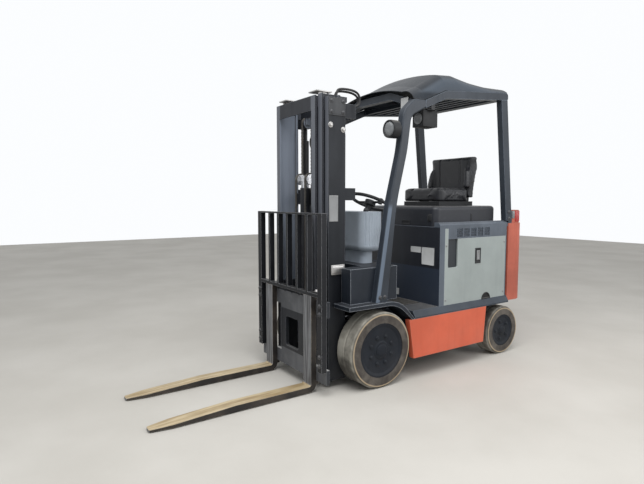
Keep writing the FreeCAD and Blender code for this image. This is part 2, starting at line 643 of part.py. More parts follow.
hanger_bore = rod("hanger_bore", "y", ("0", "sill_rear_low", REAR_Z), "wheelbase",
                  "pivot_pin_radius + bearing_gap")
tilt_anchor = slab("tilt_anchor", "x", "tilt_x + tilt_eye_width / 2 + swing_gap / 4", "frame_half - plate", [
    ("tilt_frame_y - tilt_eye_radius", "tilt_frame_z - tilt_eye_radius", "tilt_eye_radius / 2"),
    ("tilt_frame_y + tilt_eye_radius", "tilt_frame_z - tilt_eye_radius", "tilt_eye_radius / 2"),
    ("tilt_frame_y + tilt_eye_radius", "floor_top - plate"),
    ("tilt_frame_y - tilt_eye_radius", "floor_top - plate")])
tilt_anchor_pin = rod("tilt_anchor_pin", "x", ("tilt_x - tilt_eye_width", "tilt_frame_y", "tilt_frame_z"),
                      "tilt_eye_width * 1.8", "tilt_pin_radius")
half_frame = joined("half_frame", floor_front, floor_rear, ledge, inner_plate, front_web, side_beam, tray,
                    rear_web,
                    spine, hanger, tilt_anchor, tilt_anchor_pin)
half_frame_cut = less("half_frame_cut", half_frame, axle_clear, hanger_bore)
keep("main_frame", joined("main_frame_body", half_frame_cut, mirrored("half_frame_right", half_frame_cut)))

# Side sills: the orange box sections between the wheels, raked at both ends.
sill = slab("sill_body", "x", "body_half - sill_depth", "body_half", [
    ("sill_front_low", "frame_low"), ("sill_rear_low", "frame_low"),
    ("sill_rear_top", "ledge_low"), ("sill_front_top", "ledge_low")])
keep("side_sills", pair("side_sills_body", sill))

# Front cowl: fenders over the front wheels, cheeks behind the mast and the toe board between.
ARCH_IN = f"({ARCH_OUT} - plate)"
ARCH_RUN = "fender_round * 0.62"
ARCH_SLOPE = f"({ARCH_RUN}) / (fender_top - ledge_low)"
ARCH_SLOPE_IN = f"({ARCH_RUN} - fender_thick * 0.2) / (fender_top - fender_thick - ledge_low)"


def fender_strip(name, low, high, front, foot):
    """The arched top of a wheel arch from its front end down to its foot's level."""
    return slab(name, "x", low, high, [
        (front, "fender_top - fender_thick"), (front, "fender_top"),
        (f"fender_rear - {ARCH_RUN}", "fender_top", "fender_round"),
        (f"fender_rear - ({foot} - ledge_low) * {ARCH_SLOPE}", foot),
        (f"fender_rear - fender_thick - ({foot} - ledge_low) * {ARCH_SLOPE_IN}", foot),
        (f"fender_rear - {ARCH_RUN} - fender_thick * 0.8", "fender_top - fender_thick", "fender_round")])


fender = fender_strip("fender", "body_half - front_tyre_width", "body_half", "fender_front", "ledge_low")
fender_inner = fender_strip("fender_inner", ARCH_IN, "body_half - front_tyre_width", "cowl_face", "floor_top")
arch_wall = slab("arch_wall", "x", ARCH_IN, ARCH_OUT, [
    ("cowl_face", "floor_top"), ("cowl_face", "fender_top"),
    (f"fender_rear - {ARCH_RUN}", "fender_top", "fender_round"),
    (f"fender_rear - (floor_top - ledge_low) * {ARCH_SLOPE}", "floor_top")])
CHEEK_IN = "mast_half + swing_gap * 2"
COWL_REAR = "cowl_face + cowl_depth"
cheek = box("cowl_cheek", (CHEEK_IN, "guard_half - pillar_width"), ("cheek_front", COWL_REAR),
            ("fender_top", "cowl_top"))
toe_board = box("toe_board", ("0", ARCH_OUT), ("cowl_face", "cowl_face + plate"), ("floor_top", "fender_top"))
toe_board_top = box("toe_board_top", ("0", CHEEK_IN), ("cowl_face", "cowl_face + plate"),
                    ("fender_top - fender_thick", "cowl_top"))
cowl_shelf = box("cowl_shelf", ("0", CHEEK_IN), ("cowl_face + plate", COWL_REAR),
                 ("cowl_top - plate", "cowl_top"))
half_cowl = joined("half_cowl", fender, fender_inner, arch_wall, cheek, toe_board, toe_board_top, cowl_shelf)
keep("front_cowl", joined("front_cowl_body", half_cowl, mirrored("half_cowl_right", half_cowl)))

# Battery compartment: front wall, corner posts, vented side bands and the bevelled rim.
COMPARTMENT_IN = "panel_half - plate * 2"
front_wall = box("compartment_wall", ("0", "panel_half"), ("compartment_front", "compartment_front + plate"),
                 ("floor_top", "compartment_top"))
back_wall = box("compartment_back", ("0", "panel_half"), ("compartment_rear", "compartment_rear + plate"),
                ("floor_top", "compartment_top"))
corner_post = box("corner_post", (COMPARTMENT_IN, "panel_half"),
                  ("compartment_front", "panel_front - seat_gap"),
                  ("floor_top", "compartment_top"))
band = box("vent_band", (COMPARTMENT_IN, "panel_half"),
           ("panel_front + strip_width + seat_gap", "compartment_rear"),
           ("compartment_top - band_height", "compartment_top"))
notch_back = box("notch_back", ("panel_half - plate * 2", "panel_half - plate - seat_gap"),
                 ("compartment_front", "panel_front + strip_width + notch_width + plate * 2"),
                 ("compartment_top - band_height - notch_depth - plate * 2", "compartment_top"))
rim = slab("hood_rim", "y", "compartment_front", "weight_front", [
    ("hood_half + swing_gap", "compartment_top"), ("panel_half", "compartment_top"),
    ("panel_half", "compartment_top + rim_height - rim_bevel"),
    ("panel_half - rim_bevel", "compartment_top + rim_height"),
    ("hood_half + swing_gap", "compartment_top + rim_height")])
SKIRT_HALF = "panel_half - plate * 3"
front_skirt = box("front_skirt", ("0", SKIRT_HALF), ("compartment_front", "compartment_front + plate"),
                  ("battery_low", "floor_top"))
back_skirt = box("back_skirt", ("0", SKIRT_HALF), ("compartment_rear", "compartment_rear + plate"),
                 ("battery_low", "floor_top"))
SEAT_IN = "plate * 2"
side_seat = box("hood_side_seat", (f"hood_half - {SEAT_IN}", "panel_half"),
                ("compartment_front", "weight_front"),
                ("compartment_top - plate", "compartment_top"))
front_seat = box("hood_front_seat", ("0", "hood_half"), ("compartment_front", f"hood_front + {SEAT_IN}"),
                 ("compartment_top - plate", "compartment_top"))
rear_seat = box("hood_rear_seat", ("0", "hood_half"), (f"hood_rear - {SEAT_IN}", "weight_front"),
                ("compartment_top - plate", "compartment_top"))
HINGE_Y = "hood_rear + hinge_back"
HINGE_Z = "compartment_top + hinge_lift"
hinge_lug = box("hinge_lug", ("hinge_x - plate * 1.5", "hinge_x - plate / 2 - seat_gap"),
                (f"{HINGE_Y} - plate / 2", f"{HINGE_Y} + plate / 2"),
                ("compartment_top", f"{HINGE_Z} + plate / 2"))
hinge_pin = rod("hinge_pin", "x", ("hinge_x - plate", HINGE_Y, HINGE_Z), "plate * 2", "hinge_pin_radius")
windows = []
for number in range(int(value("window_count"))):
    at = f"panel_front + window_lead + window_pitch * {number}"
    windows.append(box(f"vent_window_{number}", ("panel_half - plate / 2", "panel_half + 1"),
                       (at, f"{at} + window_width"),
                       ("compartment_top - band_height * 0.88", "compartment_top - band_height * 0.14")))
half_box = less("half_compartment", joined("half_compartment_solid", front_wall, back_wall, front_skirt,
                                           back_skirt,
                                           corner_post, band, notch_back, rim, side_seat, front_seat,
                                           rear_seat,
                                           hinge_lug, hinge_pin), *windows)
keep("battery_compartment", joined("battery_compartment_body", half_box,
                                   mirrored("half_compartment_right", half_box)))

# Battery side panels: lift-off steel covers with a notch above and a cable hole below.
panel = slab("panel_body", "x", "panel_half - plate", "panel_half", [
    ("panel_front", "floor_top + seat_gap"), ("compartment_rear", "floor_top + seat_gap"),
    ("compartment_rear", "compartment_top - band_height - seat_gap"),
    ("panel_front + strip_width + notch_width", "compartment_top - band_height - seat_gap"),
    ("panel_front + strip_width + notch_width", "compartment_top - band_height - notch_depth", "plate"),
    ("panel_front + strip_width", "compartment_top - band_height - notch_depth", "plate"),
    ("panel_front + strip_width", "compartment_top - plate - seat_gap"),
    ("panel_front", "compartment_top - plate - seat_gap")])
cable_hole = rod("cable_hole", "x", ("panel_half - plate * 2", "cable_hole_y", "floor_top + seat_gap"),
                 "plate * 3", "cable_hole_radius")
keep("battery_panels", pair("battery_panels_body", less("panel_cut", panel, cable_hole)))

# Battery: one plain block in its tray.
keep("battery", box("battery_block", (f"-({COMPARTMENT_IN} - battery_clear)",
                                      f"{COMPARTMENT_IN} - battery_clear"),
                    ("compartment_front + plate + battery_clear", "compartment_rear - battery_clear"),
                    ("battery_low", "compartment_top - battery_clear * 2")))

# Counterweight: a casting with rounded rear corners, a boss between the wheels and the tow pocket.
REAR_FACE = "wheelbase + rear_overhang"
weight = slab("weight_body", "z", "weight_low", "weight_top", [
    ("-weight_half", "weight_front"), ("weight_half", "weight_front"),
    ("weight_half", REAR_FACE, "weight_round"), ("-weight_half", REAR_FACE, "weight_round")])
boss = box("weight_boss", ("-weight_boss_half", "weight_boss_half"),
           ("wheelbase + steer_cylinder_back + steer_cylinder_radius + swing_gap * 2",
            f"{REAR_FACE} - plate * 2"),
           ("weight_boss_low", "weight_low"))
tow_slot = box("tow_slot", ("-tow_slot_half", "tow_slot_half"),
               (f"{REAR_FACE} - tow_bore_back * 2", f"{REAR_FACE} + plate"),
               ("tow_slot_low", "tow_slot_low + tow_slot_height"))
tow_bore = rod("tow_bore", "z", ("0", f"{REAR_FACE} - tow_bore_back", "weight_boss_low - plate"),
               "tow_slot_low + tow_slot_height + tow_wall + plate * 2 - weight_boss_low", "tow_bore_radius")
tow_well = box("tow_well", ("-tow_well_half", "tow_well_half"),
               (f"{REAR_FACE} - tow_bore_back * 1.6", f"{REAR_FACE} + plate"),
               ("tow_slot_low + tow_slot_height + tow_wall",
                "tow_slot_low + tow_slot_height + tow_wall + tow_well_height"))
keep("counterweight", less("counterweight_body", joined("weight_solid", weight, boss), tow_slot, tow_bore,
                           tow_well))

# Dash: a moulded cowl on a round pedestal, with the steering column rising behind it.
dash = slab("dash_shell", "z", "dash_low", "dash_top", [
    ("-dash_half", "dash_front", "dash_round"), ("dash_half", "dash_front", "dash_round"),
    ("dash_half", "dash_front + dash_depth", "dash_round"),
    ("-dash_half", "dash_front + dash_depth", "dash_round")])
softened(dash, "dash_bowl", where=lambda edge: edge.BoundBox.ZMax < value("dash_low + 1"))
pedestal = slab("dash_pedestal", "z", "cowl_top", "dash_low", [
    ("-pedestal_half", "dash_front + dash_bowl", "dash_bowl"),
    ("pedestal_half", "dash_front + dash_bowl", "dash_bowl"),
    ("pedestal_half", "dash_front + dash_depth - dash_bowl", "dash_bowl"),
    ("-pedestal_half", "dash_front + dash_depth - dash_bowl", "dash_bowl")])
flutes = []
for number in range(int(value("flute_count"))):
    along = f"dash_front + dash_depth * {number + 1} / (flute_count + 1)"
    depth = f"flute_radius - flute_depth"
    bow = f"max(0; dash_round - min({along} - dash_front; dash_front + dash_depth - ({along})))"
    drawn = f"dash_round - sqrt(dash_round * dash_round - ({bow}) * ({bow}))"
    flutes.append(rod(f"flute_{number}", "z", (f"dash_half - ({drawn}) + {depth}", along,
                                               "dash_low + dash_bowl"),
                      "dash_top - dash_low", "flute_radius"))
flute_set = grouped("flutes", *flutes, *[mirrored(f"flute_right_{number}", flute) for number,
                                         flute in enumerate(flutes)])
keep("dash", less("dash_body", joined("dash_solid", dash, pedestal), flute_set))

COLUMN_LOW = "(dash_low + plate * 3)"
column = rod("column_shaft", "z", ("0", f"steering_y - (steering_z - {COLUMN_LOW}) * tan(column_tilt)",
                                   COLUMN_LOW),
             f"(steering_z - {COLUMN_LOW}) / cos(column_tilt)", "column_radius", tilt="-column_tilt")
hub = rod("steering_hub", "z", ("0", "steering_y", "steering_z"), "column_radius * 1.4",
          "column_radius * 1.7",
          tilt="-column_tilt")
ring = doc.addObject("Part::Torus", "steering_ring")
ring.setExpression("Radius1", bound("wheel_ring_radius"))
ring.setExpression("Radius2", bound("wheel_grip_radius"))
ring.Placement = Placement(Vector(0, 0, 0), Rotation(Vector(1, 0, 0), value("-column_tilt")))
ring.setExpression("Placement.Rotation.Angle", bound("-column_tilt"))
RING_LIFT = "column_radius"
ring.setExpression("Placement.Base.y", bound(f"steering_y + {RING_LIFT} * sin(column_tilt) + {AXLE_Y}"))
ring.setExpression("Placement.Base.z", bound(f"steering_z + {RING_LIFT} * cos(column_tilt)"))
spoke = rod("steering_spoke", "x", ("-wheel_ring_radius", f"steering_y + {RING_LIFT} * sin(column_tilt)",
                                    f"steering_z + {RING_LIFT} * cos(column_tilt)"),
            "wheel_ring_radius * 2", "wheel_grip_radius * 0.7")
keep("steering_wheel", joined("steering_wheel_body", hub, ring, spoke))
keep("steering_column", less("steering_column_body", column, dash))

# Overhead guard: raked front pillars that bend back into the roof, upright rear pillars, roof frame.
PILLAR_IN = "guard_half - pillar_width"
front_pillar = slab("front_pillar", "x", PILLAR_IN, "guard_half", [
    ("pillar_toe", "fender_top"), ("pillar_knee_y", "pillar_knee_z", "pillar_long_bend"),
    ("pillar_brow_y", "pillar_brow_z", "pillar_brow_bend"),
    ("pillar_crown_y", "pillar_crown_z", "pillar_crown_bend"),
    ("roof_front - canopy_lip", "roof_front_z", "roof_rail_height"),
    ("roof_front + pillar_depth", "roof_front_z"),
    ("roof_front + pillar_depth", "roof_front_z - roof_rail_height"),
    ("pillar_crown_y + pillar_depth", "roof_front_z - roof_rail_height * 2.2", "pillar_depth"),
    ("pillar_brow_y + pillar_depth", "pillar_brow_z", "pillar_brow_bend"),
    ("pillar_knee_y + pillar_depth", "pillar_knee_z", "pillar_long_bend"), ("pillar_heel", "fender_top")])
softened(front_pillar, "plate", where=lambda edge: edge.BoundBox.XMin > value("guard_half - 1")
         and edge.BoundBox.ZMin < value("fender_top + 1") and edge.BoundBox.ZLength > 40)
keep("front_pillars", pair("front_pillars_body", front_pillar))

RAIL_SLOPE = "(roof_rear_z - roof_mid_z) / (roof_rear - roof_mid)"


def rail_underside(along):
    return f"roof_mid_z - roof_rail_height + ({along} - roof_mid) * {RAIL_SLOPE}"


rear_pillar = slab("rear_pillar", "x", PILLAR_IN, "guard_half", [
    ("rear_pillar_foot", "compartment_top + rim_height"), ("weight_front", "compartment_top + rim_height"),
    ("weight_front", "weight_top"), ("rear_pillar_foot + pillar_depth", "weight_top"),
    ("rear_pillar_top + pillar_depth", rail_underside("rear_pillar_top + pillar_depth")),
    ("rear_pillar_top", rail_underside("rear_pillar_top"))])
keep("rear_pillars", pair("rear_pillars_body", rear_pillar))

roof_rail = slab("roof_rail", "x", PILLAR_IN, "guard_half", [
    ("roof_front + pillar_depth", "roof_front_z - roof_rail_height"),
    ("roof_mid", "roof_mid_z - roof_rail_height", "roof_rail_height * 2"),
    ("roof_rear", "roof_rear_z - roof_rail_height", "16"),
    ("roof_rear", "roof_rear_z", "24"), ("roof_mid", "roof_mid_z", "roof_rail_height * 2"),
    ("roof_front + pillar_depth", "roof_front_z")])
header = slab("front_header", "y", "roof_front", "roof_front + pillar_depth * 0.7", [
    ("0", "roof_front_z + header_arch - header_height"),
    ("header_flat", "roof_front_z + header_arch - header_height", "header_height * 2"),
    (PILLAR_IN, "roof_front_z - roof_rail_height"), (PILLAR_IN, "roof_front_z"),
    ("header_flat", "roof_front_z + header_arch", "header_height * 2"), ("0", "roof_front_z + header_arch")])
rear_header = box("rear_header", ("0", PILLAR_IN), ("roof_rear - pillar_depth", "roof_rear"),
                  ("roof_rear_z - roof_rail_height", "roof_rear_z - plate / 2"))
bars = []
bar_room = "(roof_rear - roof_mid - pillar_depth)"
for number in range(int(value("roof_bar_count"))):
    along = f"roof_mid + {bar_room} * {number} / roof_bar_count"
    height = f"roof_mid_z + (roof_rear_z - roof_mid_z) * ({along} - roof_mid) / (roof_rear - roof_mid)"
    bars.append(box(f"roof_bar_{number}", ("0", PILLAR_IN), (along, f"{along} + roof_bar_width"),
                    (f"{height} - roof_rail_height * 0.8",
                     f"{height} - roof_rail_height * 0.8 + roof_bar_height")))
half_roof = joined("half_roof", roof_rail, header, rear_header, *bars)
keep("roof_frame", joined("roof_frame_body", half_roof, mirrored("half_roof_right", half_roof)))

# Canopy: one thin moulded sheet, arched from side to side and rising to a peak over the seat.
ROOF_RUN = "(roof_rear - roof_mid)"
ROOF_RISE = "(roof_rear_z - roof_mid_z)"
CANOPY_SECTIONS = [
    # along, height of the rail there, share of the crown, share of that at the shoulders
    ("roof_front - canopy_lip", "roof_front_z", 0.62, 0.55),
    ("roof_front + pillar_depth", "roof_front_z", 0.86, 0.68),
    ("roof_mid", "roof_mid_z", 0.93, 0.80),
    (f"roof_mid + {ROOF_RUN} * 0.2", f"roof_mid_z + {ROOF_RISE} * 0.2", 0.93, 0.80),
    (f"roof_mid + {ROOF_RUN} * 0.45", f"roof_mid_z + {ROOF_RISE} * 0.45", 0.58, 0.80),
    (f"roof_mid + {ROOF_RUN} * 0.7", f"roof_mid_z + {ROOF_RISE} * 0.7", 0.36, 0.80),
    ("roof_rear", "roof_rear_z", 0.26, 0.80),
]


def canopy_arch(y, low, rise, shoulder):
    """One skin across the truck: a steep arc up each side and a flatter arc between the shoulders."""
    edge_x = value("guard_half - plate")
    shoulder_x = edge_x * 0.75
    flank = Vector(edge_x * 0.93, y, low + rise * shoulder * 0.62)
    left, right = Vector(edge_x, y, low), Vector(-edge_x, y, low)
    left_up, right_up = (Vector(x, y, low + rise * shoulder) for x in (shoulder_x, -shoulder_x))
    return [Part.Arc(left, flank, left_up).toShape(), Part.Arc(left_up, Vector(0, y, low + rise),
                                                               right_up).toShape(),
            Part.Arc(right_up, Vector(-flank.x, y, flank.z), right).toShape()]


def canopy_section(along, height, share, shoulder):
    """The sheet's outline across the truck: its upper skin, its lower skin and the two edges."""
    y = value(f"{along} + {AXLE_Y}")
    low = value(f"{height} + seat_gap * 3")
    thick = value("canopy_thick")
    rise = value("canopy_crown") * share
    upper = canopy_arch(y, low + thick, rise, shoulder)
    lower = canopy_arch(y, low, rise, shoulder)
    sides = [Part.makeLine(one.Vertexes[end].Point, other.Vertexes[end].Point)
             for one, other, end in ((upper[0], lower[0], 0), (upper[-1], lower[-1], -1))]
    return Part.Wire(Part.__sortEdges__([*upper, sides[1], *lower, sides[0]]))


canopy = doc.addObject("Part::Feature", "canopy_body")
canopy.Shape = Part.makeLoft([canopy_section(*section) for section in CANOPY_SECTIONS], True, True)
keep("canopy", canopy)

# Lamps: a round headlamp on a bracket ahead of each front pillar, and tail lamps on the counterweight.
lamp_y = ("pillar_brow_y + (pillar_crown_y - pillar_brow_y) * (headlamp_z - pillar_brow_z)"
          " / (pillar_crown_z - pillar_brow_z) - headlamp_radius * 1.5")
lamp_case = rod("headlamp_case", "y", ("guard_half - pillar_width / 2", lamp_y, "headlamp_z"),
                "headlamp_radius * 0.9", "headlamp_radius")
lamp_arm = box("headlamp_arm", ("guard_half - pillar_width * 0.7", "guard_half - pillar_width * 0.3"),
               (f"{lamp_y} + headlamp_radius * 0.4", f"{lamp_y} + headlamp_radius * 2.2"),
               ("headlamp_z - plate", "headlamp_z + plate"))
keep("headlamps", pair("headlamps_body", less("headlamp_cut", joined("headlamp_solid", lamp_case, lamp_arm),
                                              front_pillar)))
LAMP_BACK = f"{REAR_FACE} - weight_round * 0.7"
rear_lamp = slab("rear_lamp", "x", "weight_half - rear_lamp_width - plate", "weight_half - plate", [
    (f"{LAMP_BACK} - rear_lamp_depth", "weight_top"), (LAMP_BACK, "weight_top"),
    (LAMP_BACK, "weight_top + rear_lamp_height", "plate"),
    (f"{LAMP_BACK} - rear_lamp_depth * 0.7", "weight_top + rear_lamp_height", "plate")])
keep("rear_lamps", pair("rear_lamps_body", rear_lamp))

# Levers and pedals: hydraulic levers right of the wheel, the two pedals and the parking lever.
levers = []
for number in range(4):
    levers.append(rod(f"lever_{number}", "z", (f"-dash_half * 0.45 - {number} * column_radius * 1.5",
                                               "dash_front + dash_depth * 0.6", "dash_top"),
                      "column_radius * 4", "wheel_grip_radius * 0.5", tilt="-column_tilt / 2"))
pedals = []
for number, x in enumerate(("-dash_half * 0.55", "-dash_half * 0.15")):
    pedals.append(box(f"pedal_{number}", (x, f"{x} + column_radius * 3"),
                      ("dash_depth * 0.4", "dash_depth"), ("floor_top", "floor_top + plate * 2")))
keep("levers_and_pedals", grouped("levers_and_pedals_body",
                                  less("levers_cut", grouped("levers", *levers), dash), *pedals))

# Hood: the moulded lid over the battery, hinged at the back, with the seat on it.
HOOD_LOW = "compartment_top + seat_gap"
hood = slab("hood_shell", "z", HOOD_LOW, "hood_top", [
    ("-hood_half", "hood_front", "hood_round"), ("hood_half", "hood_front", "hood_round"),
    ("hood_half", "hood_rear", "hood_round"), ("-hood_half", "hood_rear", "hood_round")])
softened(hood, "hood_round * 0.55", where=lambda edge: edge.BoundBox.ZMin > value("hood_top - 1"))
hood_hollow = slab("hood_hollow", "z", "compartment_top", "hood_top - hood_wall", [
    ("-hood_half + hood_wall", "hood_front + hood_wall", "hood_round - hood_wall"),
    ("hood_half - hood_wall", "hood_front + hood_wall", "hood_round - hood_wall"),
    ("hood_half - hood_wall", "hood_rear - hood_wall", "hood_round - hood_wall"),
    ("-hood_half + hood_wall", "hood_rear - hood_wall", "hood_round - hood_wall")])
softened(hood_hollow, "hood_round * 0.55 - hood_wall",
         where=lambda edge: edge.BoundBox.ZMin > value("hood_top - hood_wall - 1"))
hood_lug = box("hood_lug", ("hinge_x - plate / 2", "hinge_x + plate / 2"),
               ("hood_rear - hood_wall", f"{HINGE_Y} + plate * 0.7"),
               (f"{HINGE_Z} - plate * 0.7", f"{HINGE_Z} + plate * 0.7"))
hood_lugs = pair("hood_lugs", hood_lug)
hinge_bore = rod("hinge_bore", "x", ("-hood_half", HINGE_Y, HINGE_Z), "hood_half * 2",
                 "hinge_pin_radius + bearing_gap")
keep("hood", less("hood_body", joined("hood_with_lugs", less("hood_hollowed", hood, hood_hollow), hood_lugs),
                  hinge_bore))

pan = box("seat_pan", ("-seat_half * 0.86", "seat_half * 0.86"), ("seat_front + plate * 2", "seat_rear"),
          ("hood_top", "hood_top + seat_pan_height"))
back_frame = slab("seat_back_frame", "x", "-seat_half * 0.6", "seat_half * 0.6", [
    ("seat_rear - plate", "hood_top"), ("seat_rear + plate * 2", "hood_top"),
    ("seat_rear + plate * 4", "seat_back_top - cushion_height"),
    ("seat_rear + plate * 3", "seat_back_top - cushion_height")])
keep("seat_frame", joined("seat_frame_body", pan, back_frame))

cushion = slab("cushion_body", "z", "hood_top + seat_pan_height + seat_gap",
               "hood_top + seat_pan_height + cushion_height", [
                   ("-seat_half", "seat_front", "hood_round"), ("seat_half", "seat_front", "hood_round"),
                   ("seat_half", "seat_rear - plate * 5", "hood_round / 2"),
                   ("-seat_half", "seat_rear - plate * 5", "hood_round / 2")])
keep("seat_cushion", cushion)
CUSHION_TOP = "(hood_top + seat_pan_height + cushion_height)"
backrest_pad = slab("backrest_pad", "x", "-seat_half", "seat_half", [
    ("seat_rear - plate - seat_back_depth * 0.5", "hood_top + seat_pan_height + plate"),
    ("seat_rear - plate - seat_gap", "hood_top + seat_pan_height + plate"),
    ("seat_rear + plate * 3 - seat_gap", "seat_back_top - cushion_height"),
    ("seat_rear + plate * 3 - seat_gap", "seat_back_top", "24"),
    ("seat_rear + plate * 3 - seat_back_depth", "seat_back_top", "24")])
bolster = slab("seat_bolster", "x", "seat_half - bolster_width", "seat_half", [
    ("seat_rear - seat_back_depth * 0.4", f"{CUSHION_TOP} + swing_gap"),
    ("seat_rear - seat_back_depth * 0.4", "seat_back_top - cushion_height * 0.8"),
    ("seat_rear - seat_back_depth * 0.6 - bolster_depth * 0.5", "seat_back_top - cushion_height * 1.3",
     "bolster_width"),
    ("seat_rear - seat_back_depth * 0.6 - bolster_depth", f"{CUSHION_TOP} + swing_gap", "bolster_width / 3")])
backrest_pad = joined("seat_back_body", backrest_pad, bolster, mirrored("seat_bolster_right", bolster))
keep("seat_back", backrest_pad)

# Mast rails: an outer channel, then two stages of I-section, each nested inside the last.
INNER_FRONT = "(-load_distance + fork_thick + bar_thick + rail_gap)"
MIDDLE_FRONT = f"({INNER_FRONT} + nest_step)"
OUTER_FRONT = f"({INNER_FRONT} + nest_step * 2)"
MIDDLE_WEB = "(mast_half - outer_flange - rail_gap)"
INNER_WEB = f"({MIDDLE_WEB} - rail_web - flange_in - rail_gap)"
OUTER_REAR = f"({OUTER_FRONT} + outer_depth)"
MIDDLE_REAR = f"({MIDDLE_FRONT} + middle_depth)"
INNER_REAR = f"({INNER_FRONT} + inner_depth)"


def channel_rail(name, front, rear, low, top):
    return slab(name, "z", low, top, [
        ("mast_half", front), ("mast_half", rear), ("mast_half - outer_flange", rear),
        ("mast_half - outer_flange", f"{rear} - rail_flange"),
        ("mast_half - rail_web", f"{rear} - rail_flange"),
        ("mast_half - rail_web", f"{front} + rail_flange"),
        ("mast_half - outer_flange", f"{front} + rail_flange"),
        ("mast_half - outer_flange", front)])


def beam_rail(name, web, front, rear, low, top):
    out, inside = f"{web} + flange_out", f"{web} - rail_web - flange_in"
    face, back = web, f"{web} - rail_web"
    return slab(name, "z", low, top, [
        (inside, front), (out, front), (out, f"{front} + rail_flange"), (face, f"{front} + rail_flange"),
        (face, f"{rear} - rail_flange"), (out, f"{rear} - rail_flange"), (out, rear), (inside, rear),
        (inside, f"{rear} - rail_flange"), (back, f"{rear} - rail_flange"), (back, f"{front} + rail_flange"),
        (inside, f"{front} + rail_flange")])


# Outer mast: rails, side gussets that carry the crossmembers behind the cylinders, axle clamps, feet.
CROSS_FACE = "(-cross_back)"
CROSS_LEVELS = [
    # low, height
    ("mast_low + plate", "plate * 4"),
    ("floor_top + plate * 12", "plate * 7"),
    ("outer_cross_level", "plate * 7"),
    ("outer_top - plate * 11", "plate * 8"),
]
outer_pieces = [channel_rail("outer_rail", OUTER_FRONT, OUTER_REAR, "mast_low", "outer_top")]
for number, (low, height) in enumerate(CROSS_LEVELS):
    outer_pieces.append(box(f"outer_cross_{number}", ("0", "mast_half"),
                            (CROSS_FACE, f"{CROSS_FACE} + cross_thick"), (low, f"{low} + {height}")))
    outer_pieces.append(box(f"outer_gusset_{number}", ("mast_half - rail_web", "mast_half"),
                            (OUTER_REAR, CROSS_FACE), (low, f"{low} + {height}")))
outer_pieces.append(box("outer_pad", (f"{MIDDLE_WEB} + seat_gap", "mast_half - outer_flange"),
                        (OUTER_FRONT, f"{OUTER_FRONT} + rail_flange"),
                        ("outer_top - plate * 7", "outer_top - plate")))
outer_pieces.append(box("lift_foot", ("lift_x - lift_radius", "mast_half"),
                        (f"{OUTER_REAR}", CROSS_FACE), ("mast_low + plate", "mast_low + plate * 2")))
LIFT_ANCHOR = "(tilt_mast_z + tilt_eye_radius)"
clamp_plate = slab("axle_clamp", "x", "mast_half - plate * 6", "mast_half - plate * 4", [
    (CROSS_FACE, "front_tyre_radius - axle_tube_radius * 1.6"),
    ("axle_tube_radius * 1.5", "front_tyre_radius - axle_tube_radius * 1.5", "axle_tube_radius"),
    ("axle_tube_radius * 1.5", "front_tyre_radius + axle_tube_radius * 1.5", "axle_tube_radius"),
    (CROSS_FACE, "tilt_mast_z + tilt_eye_radius")])
rear_chain_lug = box("rear_chain_lug", ("lift_chain_x - chain_width", "lift_chain_x + chain_width"),
                     ("lift_sheave_y + sheave_radius - chain_thick", CROSS_FACE),
                     (f"{LIFT_ANCHOR} - plate * 1.5", LIFT_ANCHOR))
axle_seat = rod("axle_seat", "x", ("0", "0", "front_tyre_radius"), "mast_half",
                "axle_tube_radius + bearing_gap * 4")
tilt_lug = slab("tilt_lug", "x", "tilt_x + tilt_eye_width / 2 + swing_gap / 4", "mast_half - plate * 4", [
    (CROSS_FACE, "tilt_mast_z - tilt_eye_radius"),
    ("tilt_mast_y + tilt_eye_radius", "tilt_mast_z - tilt_eye_radius", "tilt_eye_radius * 0.9"),
    ("tilt_mast_y + tilt_eye_radius", "tilt_mast_z + tilt_eye_radius", "tilt_eye_radius * 0.9"),
    (CROSS_FACE, "tilt_mast_z + tilt_eye_radius")])
tilt_cross = box("tilt_cross", ("0", "mast_half"), (CROSS_FACE, f"{CROSS_FACE} + cross_thick"),
                 ("tilt_mast_z - tilt_eye_radius", "tilt_mast_z + tilt_eye_radius"))
tilt_gusset = box("tilt_gusset", ("mast_half - rail_web", "mast_half"), (OUTER_REAR, CROSS_FACE),
                  ("tilt_mast_z - tilt_eye_radius", "tilt_mast_z + tilt_eye_radius"))
tilt_pin = rod("tilt_pin", "x", ("tilt_x - tilt_eye_width", "tilt_mast_y", "tilt_mast_z"),
               "tilt_eye_width * 1.8", "tilt_pin_radius")
half_outer = less("half_outer", joined("half_outer_solid", *outer_pieces, clamp_plate, tilt_lug, tilt_cross,
                                       tilt_gusset, tilt_pin, rear_chain_lug), axle_seat)
keep("outer_mast", joined("outer_mast_body", half_outer, mirrored("half_outer_right", half_outer)))

# Lift cylinders: hollow barrels standing on the outer mast's feet, with a gland at the top.
LIFT_FOOT = "mast_low + plate * 2"
barrel = rod("lift_barrel", "z", ("lift_x", "lift_y", LIFT_FOOT), f"lift_barrel_top - ({LIFT_FOOT})",
             "lift_radius")
barrel_bore = rod("lift_bore", "z", ("lift_x", "lift_y", f"{LIFT_FOOT} + plate * 3"),
                  f"lift_barrel_top - ({LIFT_FOOT}) - plate * 6", "lift_radius - lift_wall")
gland_bore = rod("lift_gland", "z", ("lift_x", "lift_y", f"{LIFT_FOOT} + plate * 3"), "lift_barrel_top",
                 "lift_rod_radius + bearing_gap")
keep("lift_cylinders", pair("lift_cylinders_body", less("lift_barrel_cut", barrel, barrel_bore, gland_bore)))

